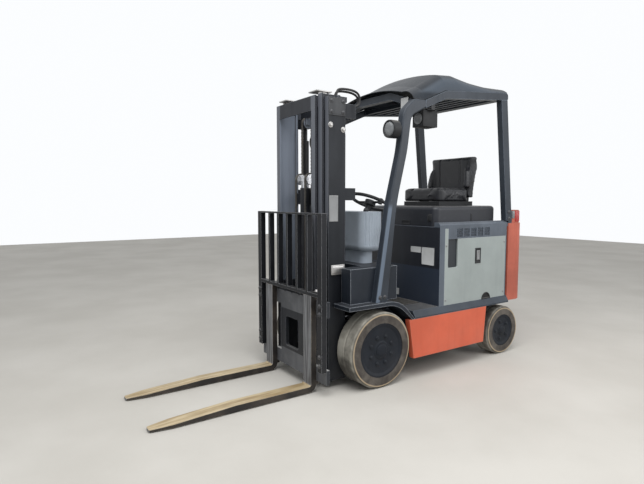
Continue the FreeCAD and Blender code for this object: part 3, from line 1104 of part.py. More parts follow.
# Middle mast: I-section rails, a top crossmember with the chain sheaves, and a lower crossmember.
ROD_TOP = "middle_top - plate * 3"
middle_pieces = [beam_rail("middle_rail", MIDDLE_WEB, MIDDLE_FRONT, MIDDLE_REAR,
                           "mast_low + mast_low_step", "middle_top")]
SIDE_IN = f"({MIDDLE_WEB} - rail_web - flange_in)"
middle_pieces.append(box("middle_top_cross", ("0", f"{MIDDLE_WEB}"),
                         (MIDDLE_REAR, f"{MIDDLE_REAR} + cross_thick"),
                         ("middle_top - plate * 8", "middle_top")))
middle_pieces.append(box("middle_rod_seat", ("lift_x - lift_radius", "lift_x + lift_radius"),
                         (f"{MIDDLE_REAR}", "lift_y + lift_radius * 0.9"), (ROD_TOP, "middle_top")))
middle_pieces.append(box("middle_low_cross", ("0", f"{MIDDLE_WEB}"),
                         (MIDDLE_REAR, f"{MIDDLE_REAR} + cross_thick"),
                         ("mast_low + plate * 3", "mast_low + plate * 9")))
middle_pieces.append(box("middle_pad", (f"{INNER_WEB} + seat_gap", SIDE_IN),
                         (MIDDLE_FRONT, f"{MIDDLE_FRONT} + rail_flange"),
                         ("middle_top - plate * 7", "middle_top - plate * 2")))
lift_sheave = rod("lift_sheave", "x", ("lift_chain_x - chain_width", "lift_sheave_y", "lift_sheave_z"),
                  "chain_width * 2", "sheave_radius - chain_thick / 2 - seat_gap")
sheave_fork = box("sheave_fork", ("lift_chain_x - chain_width - plate", "lift_chain_x - chain_width"),
                  (f"{MIDDLE_REAR}", "lift_sheave_y + plate"),
                  ("lift_sheave_z - plate", "middle_top - plate * 8"))
sheave_fork_out = box("sheave_fork_out", ("lift_chain_x + chain_width", "lift_chain_x + chain_width + plate"),
                      (f"{MIDDLE_REAR}", "lift_sheave_y + plate"),
                      ("lift_sheave_z - plate", "middle_top - plate * 8"))
half_middle = joined("half_middle", *middle_pieces, lift_sheave, sheave_fork, sheave_fork_out)
keep("middle_mast", joined("middle_mast_body", half_middle, mirrored("half_middle_right", half_middle)))

lift_rod = rod("lift_rod", "z", ("lift_x", "lift_y", f"{LIFT_FOOT} + plate * 4"),
               f"{ROD_TOP} - ({LIFT_FOOT}) - plate * 4", "lift_rod_radius")
keep("lift_rods", pair("lift_rods_body", lift_rod))

# Inner mast: rails, the plate between their tops, and the crossmembers behind the free-lift cylinder.
INNER_LOW = "mast_low + mast_low_step * 2"
inner_pieces = [beam_rail("inner_rail", INNER_WEB, INNER_FRONT, INNER_REAR, INNER_LOW, "inner_top")]
INNER_SIDE = f"({INNER_WEB} - rail_web - flange_in)"
inner_pieces.append(box("inner_top_cross", ("0", f"{INNER_WEB} - rail_web / 2"),
                        (INNER_FRONT, f"{INNER_FRONT} + rail_flange"),
                        ("inner_top - plate * 8", "inner_top")))
FREE_ANCHOR = "(sheave_z - free_stroke / 2 - plate)"
for number, low in enumerate((f"{INNER_LOW} + plate", f"{FREE_ANCHOR} - plate * 7", "free_top - plate * 10")):
    inner_pieces.append(box(f"inner_cross_{number}", ("0", f"{INNER_WEB} - rail_web / 2"),
                            (f"{INNER_REAR} - rail_flange", INNER_REAR), (low, f"{low} + plate * 7")))
inner_pieces.append(box("free_foot", ("0", "free_radius"),
                        ("free_y - free_radius", f"{INNER_REAR} - rail_flange"),
                        (f"{INNER_LOW} + plate", f"{INNER_LOW} + plate * 2")))
inner_pieces.append(box("free_chain_lug", ("chain_x - chain_width", "chain_x + chain_width"),
                        ("free_y + sheave_radius - chain_thick", f"{INNER_REAR} - rail_flange"),
                        (f"{FREE_ANCHOR} - plate * 1.5", FREE_ANCHOR)))
inner_pieces.append(box("lift_chain_lug", ("lift_chain_x - chain_width", "lift_chain_x + chain_width"),
                        (INNER_REAR, "lift_sheave_y - sheave_radius + chain_thick"),
                        (f"{INNER_LOW} + plate * 6.5", f"{INNER_LOW} + plate * 8")))
half_inner = joined("half_inner", *inner_pieces)
keep("inner_mast", joined("inner_mast_body", half_inner, mirrored("half_inner_right", half_inner)))

FREE_LOW = f"{INNER_LOW} + plate * 2"
free_barrel = rod("free_barrel", "z", ("0", "free_y", FREE_LOW), f"free_top - ({FREE_LOW})", "free_radius")
free_bore = rod("free_bore", "z", ("0", "free_y", f"{FREE_LOW} + plate * 3"), "free_top",
                "free_rod_radius + bearing_gap")
keep("free_lift_cylinder", less("free_lift_cylinder_body", free_barrel, free_bore))

# Crosshead: the free-lift rod with a sheave on each side of it.
free_rod = rod("free_rod", "z", ("0", "free_y", f"{FREE_LOW} + plate * 4"),
               f"sheave_z - ({FREE_LOW}) - plate * 4", "free_rod_radius")
yoke_block = box("crosshead_block", ("-chain_x + chain_width * 0.7", "chain_x - chain_width * 0.7"),
                 ("free_y - free_rod_radius", "free_y + free_rod_radius"),
                 ("sheave_z - plate", "sheave_z + free_rod_radius"))
sheave_left = rod("free_sheave", "x", ("chain_x - chain_width * 0.7", "free_y", "sheave_z"),
                  "chain_width * 1.4", "sheave_radius - chain_thick / 2 - seat_gap")
keep("crosshead", joined("crosshead_body", free_rod, yoke_block, sheave_left,
                         mirrored("free_sheave_right", sheave_left)))

# Carriage: two fork bars, the plate between them, and side plates whose rollers run in the inner rails.
BAR_FRONT = "(-load_distance + fork_thick)"
BAR_REAR = f"({BAR_FRONT} + bar_thick)"
upper_bar = box("upper_bar", ("0", "carriage_half"), (BAR_FRONT, BAR_REAR),
                ("upper_bar_low", "upper_bar_top"))
lower_bar = box("lower_bar", ("0", "carriage_half"), (BAR_FRONT, BAR_REAR),
                ("lower_bar_low", "lower_bar_top"))
middle_plate = slab("middle_plate", "y", BAR_FRONT, BAR_REAR, [
    ("-carriage_half * 0.35", "lower_bar_top"), ("carriage_half * 0.35", "lower_bar_top"),
    ("carriage_half * 0.35", "upper_bar_low"), ("-carriage_half * 0.35", "upper_bar_low")], [
    ("-carriage_half * 0.2", "lower_bar_top + plate * 4", "20"),
    ("carriage_half * 0.2", "lower_bar_top + plate * 4", "20"),
    ("carriage_half * 0.2", "upper_bar_low - plate * 7", "20"),
    ("-carriage_half * 0.2", "upper_bar_low - plate * 7", "20")])
SIDE_PLATE_OUT = f"({INNER_SIDE} - rail_gap)"
side_plate = box("side_plate", (f"{SIDE_PLATE_OUT} - side_plate_thick", SIDE_PLATE_OUT),
                 (BAR_REAR, f"{INNER_REAR} - rail_flange - plate"), ("lower_bar_low", "side_plate_top"))
ROLLER_RADIUS = "inner_depth / 2 - rail_flange - seat_gap"
rollers = []
for number, level in enumerate(("lower_bar_top", "side_plate_top - plate * 6")):
    rollers.append(rod(f"roller_{number}", "x", (f"{SIDE_PLATE_OUT} - 1", f"{INNER_FRONT} + inner_depth / 2",
                                                 level),
                       f"rail_gap + flange_in + 1 - seat_gap * 2", ROLLER_RADIUS))
chain_lug = box("chain_lug", ("chain_x - chain_width", "chain_x + chain_width"),
                (BAR_REAR, "free_y - sheave_radius + chain_thick"),
                ("upper_bar_low", "upper_bar_low + plate * 3"))
half_carriage = joined("half_carriage", upper_bar, lower_bar, side_plate, *rollers, chain_lug)
bar_notches = []
for number in range(int(value("notch_count"))):
    x = f"-carriage_half + carriage_half * 2 * {number + 0.5} / notch_count"
    bar_notches.append(box(f"bar_notch_{number}", (f"{x} - 6", f"{x} + 6"),
                           (f"{BAR_FRONT} - 1", f"{BAR_REAR} + 1"),
                           ("upper_bar_top - 9", "upper_bar_top + 1")))
keep("carriage", less("carriage_body", joined("carriage_solid", half_carriage, middle_plate,
                                              mirrored("half_carriage_right", half_carriage)), *bar_notches))

# Load backrest: posts bolted to both fork bars, a top rail and upright bars between.
REST_BACK = BAR_FRONT
REST_FRONT = f"({BAR_FRONT} - backrest_depth)"
rest_post = box("rest_post", ("carriage_half - backrest_post", "carriage_half"), (REST_FRONT, REST_BACK),
                ("lower_bar_top - plate", "backrest_top"))
rest_top = box("rest_top", ("0", "carriage_half"), (REST_FRONT, REST_BACK),
               ("backrest_top - plate", "backrest_top"))
rest_foot = box("rest_foot", ("0", "carriage_half"), (REST_FRONT, REST_BACK),
                ("upper_bar_top + hook_height + 1", "upper_bar_top + hook_height + 1 + plate * 2"))
half_rest = joined("half_rest", rest_post, rest_top, rest_foot)
rest_bars = []
for number in range(int(value("backrest_bars"))):
    x = f"(carriage_half - backrest_post) * 2 * ({number + 1} / (backrest_bars + 1) - 0.5)"
    rest_bars.append(box(f"rest_bar_{number}", (f"{x} - backrest_bar_width / 2",
                                                f"{x} + backrest_bar_width / 2"),
                         (REST_FRONT, REST_BACK), ("upper_bar_top + hook_height + 1", "backrest_top")))
keep("load_backrest", joined("load_backrest_body", half_rest, mirrored("half_rest_right", half_rest),
                             *rest_bars))

# Forks: forged blades, tapered in thickness and width to the tip, hooked over the bars.
FACE = "(-load_distance)"
FORK_OUT = "fork_spread / 2"
FORK_IN = "fork_spread / 2 - fork_width"
fork_side = slab("fork_side", "x", FORK_IN, FORK_OUT, [
    (BAR_FRONT, "fork_low", "heel_round"), (f"{FACE} - fork_length", "fork_low"),
    (f"{FACE} - fork_length", "fork_low + fork_tip"), (f"{FACE} - fork_length + fork_taper",
                                                       "fork_low + fork_thick"),
    (FACE, "fork_low + fork_thick", "heel_round / 3"), (FACE, "upper_bar_top + hook_height"),
    (f"{BAR_REAR} - plate / 2", "upper_bar_top + hook_height"), (f"{BAR_REAR} - plate / 2", "upper_bar_top"),
    (BAR_FRONT, "upper_bar_top"), (BAR_FRONT, "lower_bar_low"), (f"{BAR_REAR} - plate / 2", "lower_bar_low"),
    (f"{BAR_REAR} - plate / 2", "lower_bar_low - hook_height"), (BAR_FRONT, "lower_bar_low - hook_height")])
fork_plan = slab("fork_plan", "z", "0", "backrest_top", [
    (FORK_IN, BAR_REAR), (FORK_OUT, BAR_REAR), (FORK_OUT, f"{FACE} - fork_length + fork_taper * 0.25", "120"),
    (f"{FORK_OUT} - (fork_width - fork_tip_width) / 2", f"{FACE} - fork_length", "12"),
    (f"{FORK_IN} + (fork_width - fork_tip_width) / 2", f"{FACE} - fork_length", "12"),
    (FORK_IN, f"{FACE} - fork_length + fork_taper * 0.25", "120")])
fork = common("fork_body", fork_side, fork_plan)
keep("fork_left", fork)
keep("fork_right", mirrored("fork_body_right", fork))


# Chains: each strand a flat band of leaf chain between its sheave and its anchor.
def strand(name, x, y, low, high):
    return box(name, (f"{x} - chain_width / 2", f"{x} + chain_width / 2"),
               (f"{y} - chain_thick / 2", f"{y} + chain_thick / 2"), (low, high))


CARRIAGE_ANCHOR = "upper_bar_low + plate * 3"
keep("free_chains_front", pair("free_chains_front_body", strand(
    "free_chain_front", "chain_x", "free_y - sheave_radius", CARRIAGE_ANCHOR, "sheave_z")))
keep("free_chains_rear", pair("free_chains_rear_body", strand(
    "free_chain_rear", "chain_x", "free_y + sheave_radius", FREE_ANCHOR, "sheave_z")))
keep("lift_chains_front", pair("lift_chains_front_body", strand(
    "lift_chain_front", "lift_chain_x", "lift_sheave_y - sheave_radius", f"{INNER_LOW} + plate * 8",
    "lift_sheave_z")))
keep("lift_chains_rear", pair("lift_chains_rear_body", strand(
    "lift_chain_rear", "lift_chain_x", "lift_sheave_y + sheave_radius", LIFT_ANCHOR, "lift_sheave_z")))

# Tilt cylinders: each barrel pinned to the frame and each rod to the mast, in line between the pins.
TILT_SPAN = "hypot(tilt_frame_y - tilt_mast_y; tilt_mast_z - tilt_frame_z)"
TILT_ANGLE = "atan2(tilt_mast_z - tilt_frame_z; tilt_frame_y - tilt_mast_y)"


def tilt_piece(name, pieces):
    """A cylinder's pieces drawn along z from the frame's pin, then laid along the line of the pins."""
    shape = pieces[0].fuse(pieces[1:])
    left = doc.addObject("Part::Feature", name)
    left.Shape = shape.removeSplitter()
    left.Placement = Placement(Vector(value("tilt_x"), value(f"tilt_frame_y + {AXLE_Y}"),
                                      value("tilt_frame_z")),
                               Rotation(X, 90 - value(TILT_ANGLE)))
    return left


def eye(along, clearance):
    """The eye round a pin, at a distance along the cylinder."""
    half = value("tilt_eye_width") / 2
    ring_solid = Part.makeCylinder(value("tilt_eye_radius"), half * 2, Vector(-half, 0, along), X)
    return ring_solid.cut(Part.makeCylinder(value(f"tilt_pin_radius + {clearance}"), half * 4,
                                            Vector(-half * 2, 0, along), X))


span = value(TILT_SPAN)
eye_radius = value("tilt_eye_radius")
root = value("tilt_pin_radius + tilt_eye_radius") / 2
barrel_low = value("tilt_eye_radius + swing_gap")
barrel_end = span * 0.62
neck = Part.makeCylinder(value("tilt_rod_radius"), barrel_low - root, Vector(0, 0, root))
barrel_solid = Part.makeCylinder(value("tilt_radius"), barrel_end - barrel_low, Vector(0, 0, barrel_low))
barrel_solid = barrel_solid.cut(Part.makeCylinder(value("tilt_rod_radius + bearing_gap"), span,
                                                  Vector(0, 0, eye_radius * 1.8)))
rod_solid = Part.makeCylinder(value("tilt_rod_radius"), span - root - eye_radius * 2.8,
                              Vector(0, 0, eye_radius * 2.8))
keep("tilt_cylinders", pair("tilt_cylinders_body", tilt_piece("tilt_barrel",
                                                              [barrel_solid, neck, eye(0, "bearing_gap")])))
keep("tilt_rods", pair("tilt_rods_body", tilt_piece("tilt_rod", [rod_solid, eye(span, "seat_gap * 2")])))

doc.recompute()
failed = [piece.Name for piece in doc.Objects if {"Invalid", "Error"} & set(piece.State)]
if failed:
    raise RuntimeError("these objects failed: " + ", ".join(failed))
for piece in PARTS:
    if piece.Shape.isNull() or not piece.Shape.isValid() or not piece.Shape.Solids:
        raise RuntimeError("this sub-part has no sound solid: " + piece.Label)

os.makedirs("parts", exist_ok=True)
for piece in PARTS:
    piece.Shape.exportStep(f"parts/{piece.Label}.step")
print(len(PARTS), "sub-parts written")
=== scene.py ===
import math

import bpy
from mathutils import Matrix, Vector


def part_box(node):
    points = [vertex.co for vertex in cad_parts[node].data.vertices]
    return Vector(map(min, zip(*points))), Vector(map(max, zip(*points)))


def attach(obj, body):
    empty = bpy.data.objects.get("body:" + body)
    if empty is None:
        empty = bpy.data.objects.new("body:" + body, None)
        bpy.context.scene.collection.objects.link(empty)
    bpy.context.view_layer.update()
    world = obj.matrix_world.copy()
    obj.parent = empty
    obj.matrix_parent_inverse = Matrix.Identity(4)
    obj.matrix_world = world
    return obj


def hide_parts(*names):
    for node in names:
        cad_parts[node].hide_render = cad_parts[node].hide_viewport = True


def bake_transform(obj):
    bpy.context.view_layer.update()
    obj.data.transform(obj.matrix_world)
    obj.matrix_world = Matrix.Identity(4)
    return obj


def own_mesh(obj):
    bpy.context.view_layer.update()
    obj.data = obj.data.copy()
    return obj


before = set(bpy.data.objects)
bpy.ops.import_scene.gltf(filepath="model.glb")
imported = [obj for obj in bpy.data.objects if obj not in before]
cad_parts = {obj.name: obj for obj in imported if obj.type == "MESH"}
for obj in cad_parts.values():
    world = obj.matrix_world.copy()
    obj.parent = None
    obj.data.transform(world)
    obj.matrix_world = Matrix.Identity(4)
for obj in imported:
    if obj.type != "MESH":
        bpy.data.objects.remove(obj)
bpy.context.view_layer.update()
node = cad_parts

# Camera: it stands left of the truck and ahead of the fork tips, a little above the hood,
# and looks back along the truck. Its place, aim and focal length are those of the photograph.
def aimed(place, direction):
    """The stand of a camera or a lamp that looks along a direction from its place."""
    return Matrix.Translation(place) @ direction.to_track_quat("-Z", "Y").to_matrix().to_4x4()


CAMERA_PLACE = Vector((3.065, -2.292, 1.3055))
CAMERA_YAW, CAMERA_PITCH = 0.5967, -0.0843
FOCAL_PIXELS, PICTURE_PIXELS, SENSOR_WIDTH = 497.1, 644, 36
aim = Vector((-math.cos(CAMERA_YAW) * math.cos(CAMERA_PITCH),
              math.sin(CAMERA_YAW) * math.cos(CAMERA_PITCH), math.sin(CAMERA_PITCH)))
camera_data = bpy.data.cameras.new("photo_camera")
camera_data.sensor_width = SENSOR_WIDTH
camera_data.lens = SENSOR_WIDTH * FOCAL_PIXELS / PICTURE_PIXELS
camera = bpy.data.objects.new("photo_camera", camera_data)
camera.matrix_world = aimed(CAMERA_PLACE, aim)
bpy.context.scene.collection.objects.link(camera)
bpy.context.scene.camera = camera
bpy.context.scene.view_settings.view_transform = "Standard"


# Studio: a plain pale concrete floor, a white surround and two soft lamps overhead,
# at the level where a colour renders about as it is written.
class Amount:
    """A number that changes over a surface: the output of a shader node."""

    def __init__(self, finish, socket):
        self.finish, self.socket = finish, socket

    def reckon(self, operation, first, second=0.0, clamp=False):
        made = self.finish.node("ShaderNodeMath", {"operation": operation, "use_clamp": clamp},
                                {0: first, 1: second})
        return Amount(self.finish, made.outputs["Value"])

    def __add__(self, other):
        return self.reckon("ADD", self, other)

    __radd__ = __add__

    def __sub__(self, other):
        return self.reckon("SUBTRACT", self, other)

    def __rsub__(self, other):
        return self.reckon("SUBTRACT", other, self)

    def __mul__(self, other):
        return self.reckon("MULTIPLY", self, other)

    __rmul__ = __mul__

    def __abs__(self):
        return self.reckon("ABSOLUTE", self)

    def held(self):
        """Kept between 0 and 1."""
        return self.reckon("ADD", self, 0.0, clamp=True)

    def rise(self, low, high):
        """0 below low, 1 above high and smooth between."""
        made = self.finish.node("ShaderNodeMapRange", {"interpolation_type": "SMOOTHSTEP"},
                                {"Value": self, "From Min": low, "From Max": high})
        return Amount(self.finish, made.outputs["Result"])


class Finish:
    """A finish built from shader nodes, on coordinates in metres that stay with the piece."""

    def __init__(self, name, metallic=0.0, shine=0.5):
        self.material = bpy.data.materials.new(name)
        self.material.use_nodes = True
        self.tree = self.material.node_tree
        self.shader = self.tree.nodes["Principled BSDF"]
        self.shader.inputs["Metallic"].default_value = metallic
        self.shader.inputs["Specular IOR Level"].default_value = shine
        self.place = self.node("ShaderNodeTexCoord").outputs["Object"]
        self.facing = self.node("ShaderNodeNewGeometry").outputs["Normal"]

    def feed(self, socket, value):
        source = value.socket if isinstance(value, Amount) else value
        if isinstance(source, bpy.types.NodeSocket):
            self.tree.links.new(source, socket)
        elif isinstance(source, tuple) and len(source) == 3 and socket.type == "RGBA":
            socket.default_value = (*source, 1.0)
        else:
            socket.default_value = source

    def node(self, kind, settings=None, sockets=None):
        """A shader node: its type, its settings, then the values or links of its sockets."""
        made = self.tree.nodes.new(kind)
        for name, value in (settings or {}).items():
            setattr(made, name, value)
        for name, value in (sockets or {}).items():
            self.feed(made.inputs[name], value)
        return made

    def along(self, vector, axis):
        made = self.node("ShaderNodeSeparateXYZ", None, {"Vector": vector})
        return Amount(self, made.outputs["XYZ".index(axis)])

    def at(self, axis):
        """How far along an axis a point of the piece lies, in metres."""
        return self.along(self.place, axis)

    def faces(self, axis):
        """1 where the surface looks along an axis and -1 where it looks the other way."""
        return self.along(self.facing, axis)

    def ahead(self):
        """1 on the faces that look forward."""
        return (-1.0 * self.faces("Y")).rise(0.6, 0.9)

    def below(self, low, high):
        """1 below a height and 0 above it, smooth between low and high."""
        return 1.0 - self.at("Z").rise(low, high)

    def stretched(self, scale, offset=(0.0, 0.0, 0.0)):
        """The piece's coordinates, each multiplied by its own number."""
        return self.node("ShaderNodeMapping", {"vector_type": "POINT"},
                         {"Vector": self.place, "Scale": scale, "Location": offset}).outputs["Vector"]

    def cloud(self, scale, detail=3.0, roughness=0.55, place=None):
        """Uneven patches, from 0 to 1."""
        made = self.node("ShaderNodeTexNoise", {"noise_dimensions": "3D"},
                         {"Vector": place or self.place, "Scale": scale, "Detail": detail,
                          "Roughness": roughness})
        return Amount(self, made.outputs["Fac"])

    def blend(self, share, first, second):
        """A colour between two, by share."""
        made = self.node("ShaderNodeMix", {"data_type": "RGBA"}, {"Factor": share, 6: first, 7: second})
        return made.outputs[2]

    def rounded(self, radius):
        """The way the surface looks when its edges are rounded."""
        return self.node("ShaderNodeBevel", {"samples": 4}, {"Radius": radius}).outputs["Normal"]

    def edges(self, radius):
        """1 along the sharp edges and 0 on the open faces."""
        dot = self.node("ShaderNodeVectorMath", {"operation": "DOT_PRODUCT"},
                        {0: self.rounded(radius), 1: self.facing})
        return (1.0 - Amount(self, dot.outputs["Value"])).rise(0.02, 0.25)

    def complete(self, colour, roughness, relief, depth, softened=0.0):
        """Feeds the shader: colour, roughness, a relief whose depth is in metres, and softer edges."""
        self.feed(self.shader.inputs["Base Color"], colour)
        self.feed(self.shader.inputs["Roughness"], roughness)
        bump = self.node("ShaderNodeBump", None, {"Height": relief, "Distance": depth, "Strength": 1.0})
        if softened:
            self.feed(bump.inputs["Normal"], self.rounded(softened))
        self.feed(self.shader.inputs["Normal"], bump.outputs["Normal"])
        return self.material


def coat_nodes(material, *names):
    """Puts a finish on CAD nodes."""
    for name in names:
        slots = node[name].data.materials
        slots.clear()
        slots.append(material)


FLOOR_HALF, SURROUND_SEEN, SURROUND_LIGHT = 14.0, 1.0, 0.62
LAMP_TARGET = Vector((0, 0.2, 0.8))
concrete = Finish("pale_concrete")
patches = concrete.cloud(0.8, 5)
pores = concrete.cloud(45, 3)
concrete.complete(concrete.blend(patches.rise(0.3, 0.7), (0.49, 0.47, 0.43), (0.56, 0.54, 0.50)),
                  0.78 + 0.15 * pores, pores, depth=0.0006)
bpy.ops.mesh.primitive_plane_add(size=FLOOR_HALF * 2, location=(0, 0, 0))
floor = bpy.context.object
floor.name = "studio_floor"
floor.data.materials.append(concrete.material)

world = bpy.data.worlds.new("studio_surround")
bpy.context.scene.world = world
world.use_nodes = True
sky = world.node_tree
surround = sky.nodes["Background"]
surround.inputs["Color"].default_value = (0.97, 0.985, 1.0, 1.0)
seen = sky.nodes.new("ShaderNodeLightPath")
shown_white = seen.outputs["Is Camera Ray"]
for ray in ("Is Glossy Ray", "Is Transmission Ray"):
    either = sky.nodes.new("ShaderNodeMath")
    either.operation = "MAXIMUM"
    sky.links.new(shown_white, either.inputs[0])
    sky.links.new(seen.outputs[ray], either.inputs[1])
    shown_white = either.outputs[0]
level = sky.nodes.new("ShaderNodeMapRange")
level.inputs["To Min"].default_value = SURROUND_LIGHT
level.inputs["To Max"].default_value = SURROUND_SEEN
sky.links.new(shown_white, level.inputs["Value"])
sky.links.new(level.outputs["Result"], surround.inputs["Strength"])

for lamp_name, lamp_place, lamp_size, lamp_power in (
        ("overhead_softbox", (1.8, -1.2, 4.6), 3.4, 190), ("side_softbox", (4.2, 2.6, 2.6), 2.6, 70)):
    lamp_data = bpy.data.lights.new(lamp_name, "AREA")
    lamp_data.energy, lamp_data.size = lamp_power, lamp_size
    lamp = bpy.data.objects.new(lamp_name, lamp_data)
    lamp.matrix_world = aimed(lamp_place, LAMP_TARGET - Vector(lamp_place))
    bpy.context.scene.collection.objects.link(lamp)


# Chassis: welded plate frame in dark blue-grey paint, with the floor over it.
# The paint is chipped at the edges, dusty low down and on what faces up.
def shade_of(colour, share, lift=0.0):
    """A darker or a lighter shade of a colour."""
    return tuple(min(1.0, channel * share + lift) for channel in colour)


def painted(name, colour, worn=None, gloss=0.42, dust=0.35, wear=0.5, radius=0.006, shine=0.4,
            mottle=1.0, areas=()):
    """Factory paint on steel: uneven tint, grime in streaks, dust, chipped edges and orange peel.
    Each of the areas is a function that finds a stretch of the surface, and that stretch's colour."""
    finish = Finish(name, shine=shine)
    dark, light = shade_of(colour, 1 - 0.22 * mottle), shade_of(colour, 1 + 0.16 * mottle, 0.003)
    worn = worn or shade_of(colour, 2.0, 0.10)
    tint = finish.cloud(2.1, 5, 0.62).rise(0.32, 0.68)
    streaks = finish.cloud(1.0, 4, 0.6, finish.stretched((16, 16, 1.5))).rise(0.46, 0.72)
    specks = finish.cloud(130, 3)
    chips = finish.cloud(38, 5, 0.7)
    up = finish.faces("Z").rise(0.55, 0.95)
    low_dust = finish.below(0.12, 0.75) * finish.cloud(5, 4).rise(0.35, 0.75)
    dusty = ((low_dust * 0.55 + up * (0.35 + 0.5 * tint)) * dust).held()
    edge = finish.edges(radius)
    # Chipped edges are wear; where wear is high, as on the cowl, they run unbroken and are partly a
    # painted highlight.
    worn_and_highlit_edges = (edge * (chips + wear - 0.25).rise(0.36, 0.58) * wear * 1.5).held()
    base = finish.blend(tint, dark, light)
    for found, shade in areas:
        base = finish.blend(found(finish).held(), base, shade)
    base = finish.blend(streaks * 0.16 * mottle, base, shade_of(colour, 0.45))
    base = finish.blend(dusty, base, (0.30, 0.275, 0.24))
    base = finish.blend(worn_and_highlit_edges, base, worn)
    rough = (gloss + 0.14 * specks + 0.30 * dusty + 0.10 * streaks - 0.08 * worn_and_highlit_edges).held()
    relief = specks * 0.35 + finish.cloud(34, 2) * 0.5 - worn_and_highlit_edges * 0.8
    return finish.complete(base, rough, relief, depth=0.0004, softened=0.0025)


charcoal_paint = painted("charcoal_paint", (0.030, 0.039, 0.053), worn=(0.14, 0.18, 0.24), gloss=0.36,
                         shine=0.3)
coat_nodes(charcoal_paint, "main_frame")
coat_nodes(painted("sill_orange_paint", (0.58, 0.108, 0.052), worn=(0.40, 0.30, 0.24), gloss=0.34,
                   dust=0.12, wear=0.35, mottle=0.45), "side_sills")


# Floor mat: a rubber mat laid in the foot space, between the shelf and the battery compartment,
# with ribs across the truck inside a plain border.
def block(name, low, high):
    """A block between two corners, the start of a pressed or moulded piece."""
    low, high = Vector(low), Vector(high)
    bpy.ops.mesh.primitive_cube_add(size=1, location=(low + high) / 2)
    made = bpy.context.object
    made.name = name
    made.scale = [abs(reach) for reach in high - low]
    bpy.ops.object.transform_apply(location=True, rotation=True, scale=True)
    return made


FACES_ONE_WAY, SMOOTH_BELOW = 0.9, math.radians(35)


def stepped(piece, direction, *steps):
    """Draws borders inside the faces that look one way. Each step is a border and its rise, or its
    sink if it is below 0."""
    bpy.ops.object.mode_set(mode="EDIT")
    bpy.ops.mesh.select_mode(type="FACE")
    bpy.ops.mesh.select_all(action="DESELECT")
    bpy.ops.object.mode_set(mode="OBJECT")
    for face in piece.data.polygons:
        face.select = face.normal.dot(Vector(direction)) > FACES_ONE_WAY
    bpy.ops.object.mode_set(mode="EDIT")
    for border, rise in steps:
        bpy.ops.mesh.inset(thickness=border, depth=rise)
    bpy.ops.object.mode_set(mode="OBJECT")
    return piece


def chosen(piece, *others):
    """Selects pieces and nothing else, and makes the first of them the active one."""
    bpy.ops.object.select_all(action="DESELECT")
    for picked in (piece, *others):
        picked.select_set(True)
    bpy.context.view_layer.objects.active = piece


def joined(piece, *others):
    """Joins the others to the first piece."""
    chosen(piece, *others)
    bpy.ops.object.join()
    return piece


def modified(piece, kind, **settings):
    """Shapes the active piece with a modifier."""
    modifier = piece.modifiers.new(kind.lower(), kind)
    for name, value in settings.items():
        setattr(modifier, name, value)
    bpy.ops.object.modifier_apply(modifier=modifier.name)


def finished(piece, material, body, bevel=0.0):
    """Rounds a piece's edges, gives it its finish, and fixes it to the body that carries it, if one
    body alone does."""
    chosen(piece)
    bpy.ops.object.transform_apply(location=True, rotation=True, scale=True)
    if bevel:
        modified(piece, "BEVEL", width=bevel, segments=2, limit_method="ANGLE")
    bpy.ops.object.shade_smooth_by_angle(angle=SMOOTH_BELOW)
    piece.data.materials.clear()
    piece.data.materials.append(material)
    if body:
        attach(piece, body)


def repeated(first, offsets):
    """Joins a small piece with copies of it, each with its own mesh."""
    twins = []
    for offset in offsets:
        twin = first.copy()
        twin.data = first.data.copy()
        bpy.context.scene.collection.objects.link(twin)
        twin.location = offset
        twins.append(twin)
    return joined(first, *twins)


def moulded(name, colour, gloss=0.5, grain=420, depth=0.00025, dust=0.2, scuffed=0.35, shine=0.4,
            areas=()):
    """Moulded plastic or rubber: an even colour with leather grain, hand grease and pale scuffs."""
    finish = Finish(name, shine=shine)
    tint = finish.cloud(3, 4).rise(0.3, 0.7)
    fine = finish.cloud(grain, 2, 0.5)
    scuffs = finish.cloud(22, 5, 0.7).rise(0.58, 0.72)
    up = finish.faces("Z").rise(0.5, 0.95)
    edge = finish.edges(0.005)
    base = finish.blend(tint, shade_of(colour, 0.8), shade_of(colour, 1.15))
    for found, shade in areas:
        base = finish.blend(found(finish).held(), base, shade)
    base = finish.blend((up * dust * (0.5 + tint)).held(), base, (0.28, 0.26, 0.23))
    base = finish.blend(((scuffs * 0.25 + edge * 0.5) * scuffed).held(), base,
                        shade_of(colour, 1.6, 0.14))
    return finish.complete(base, (gloss + 0.18 * fine + 0.1 * tint).held(), fine, depth, softened=0.002)


MAT_HALF, MAT_FRONT, MAT_REAR, MAT_LOW = 0.30, 0.150, 0.512, 0.5003
RIB_COUNT, RIB_PITCH = 16, 0.0205
black_rubber = moulded("mat_black_rubber", (0.014, 0.014, 0.015), 0.62, grain=240, depth=0.0005, dust=0.2)
mat = block("floor_mat", (-MAT_HALF, MAT_FRONT, MAT_LOW), (MAT_HALF, MAT_REAR, MAT_LOW + 0.004))
stepped(mat, (0, 0, 1), (0.012, 0.0), (0.002, -0.0015))
finished(mat, black_rubber, "chassis", 0.0008)
rib = block("floor_mat_ribs", (-MAT_HALF + 0.02, MAT_FRONT + 0.022, MAT_LOW + 0.001),
            (MAT_HALF - 0.02, MAT_FRONT + 0.030, MAT_LOW + 0.0065))
stepped(rib, (0, 0, 1), (0.0015, 0.0008))
repeated(rib, [(0, RIB_PITCH * number, 0) for number in range(1, RIB_COUNT)])
finished(rib, black_rubber, "chassis")

# Axles: cast and welded steel in black paint, dusty and greasy. The drive axle runs between the
# front wheels, and the steer axle under the frame's rear end with a knuckle at each end.
axle_paint = painted("axle_black_paint", (0.022, 0.023, 0.025), worn=(0.10, 0.09, 0.08), gloss=0.5,
                     dust=0.6)
coat_nodes(axle_paint, "drive_axle", "steer_axle", "knuckle_left", "knuckle_right")


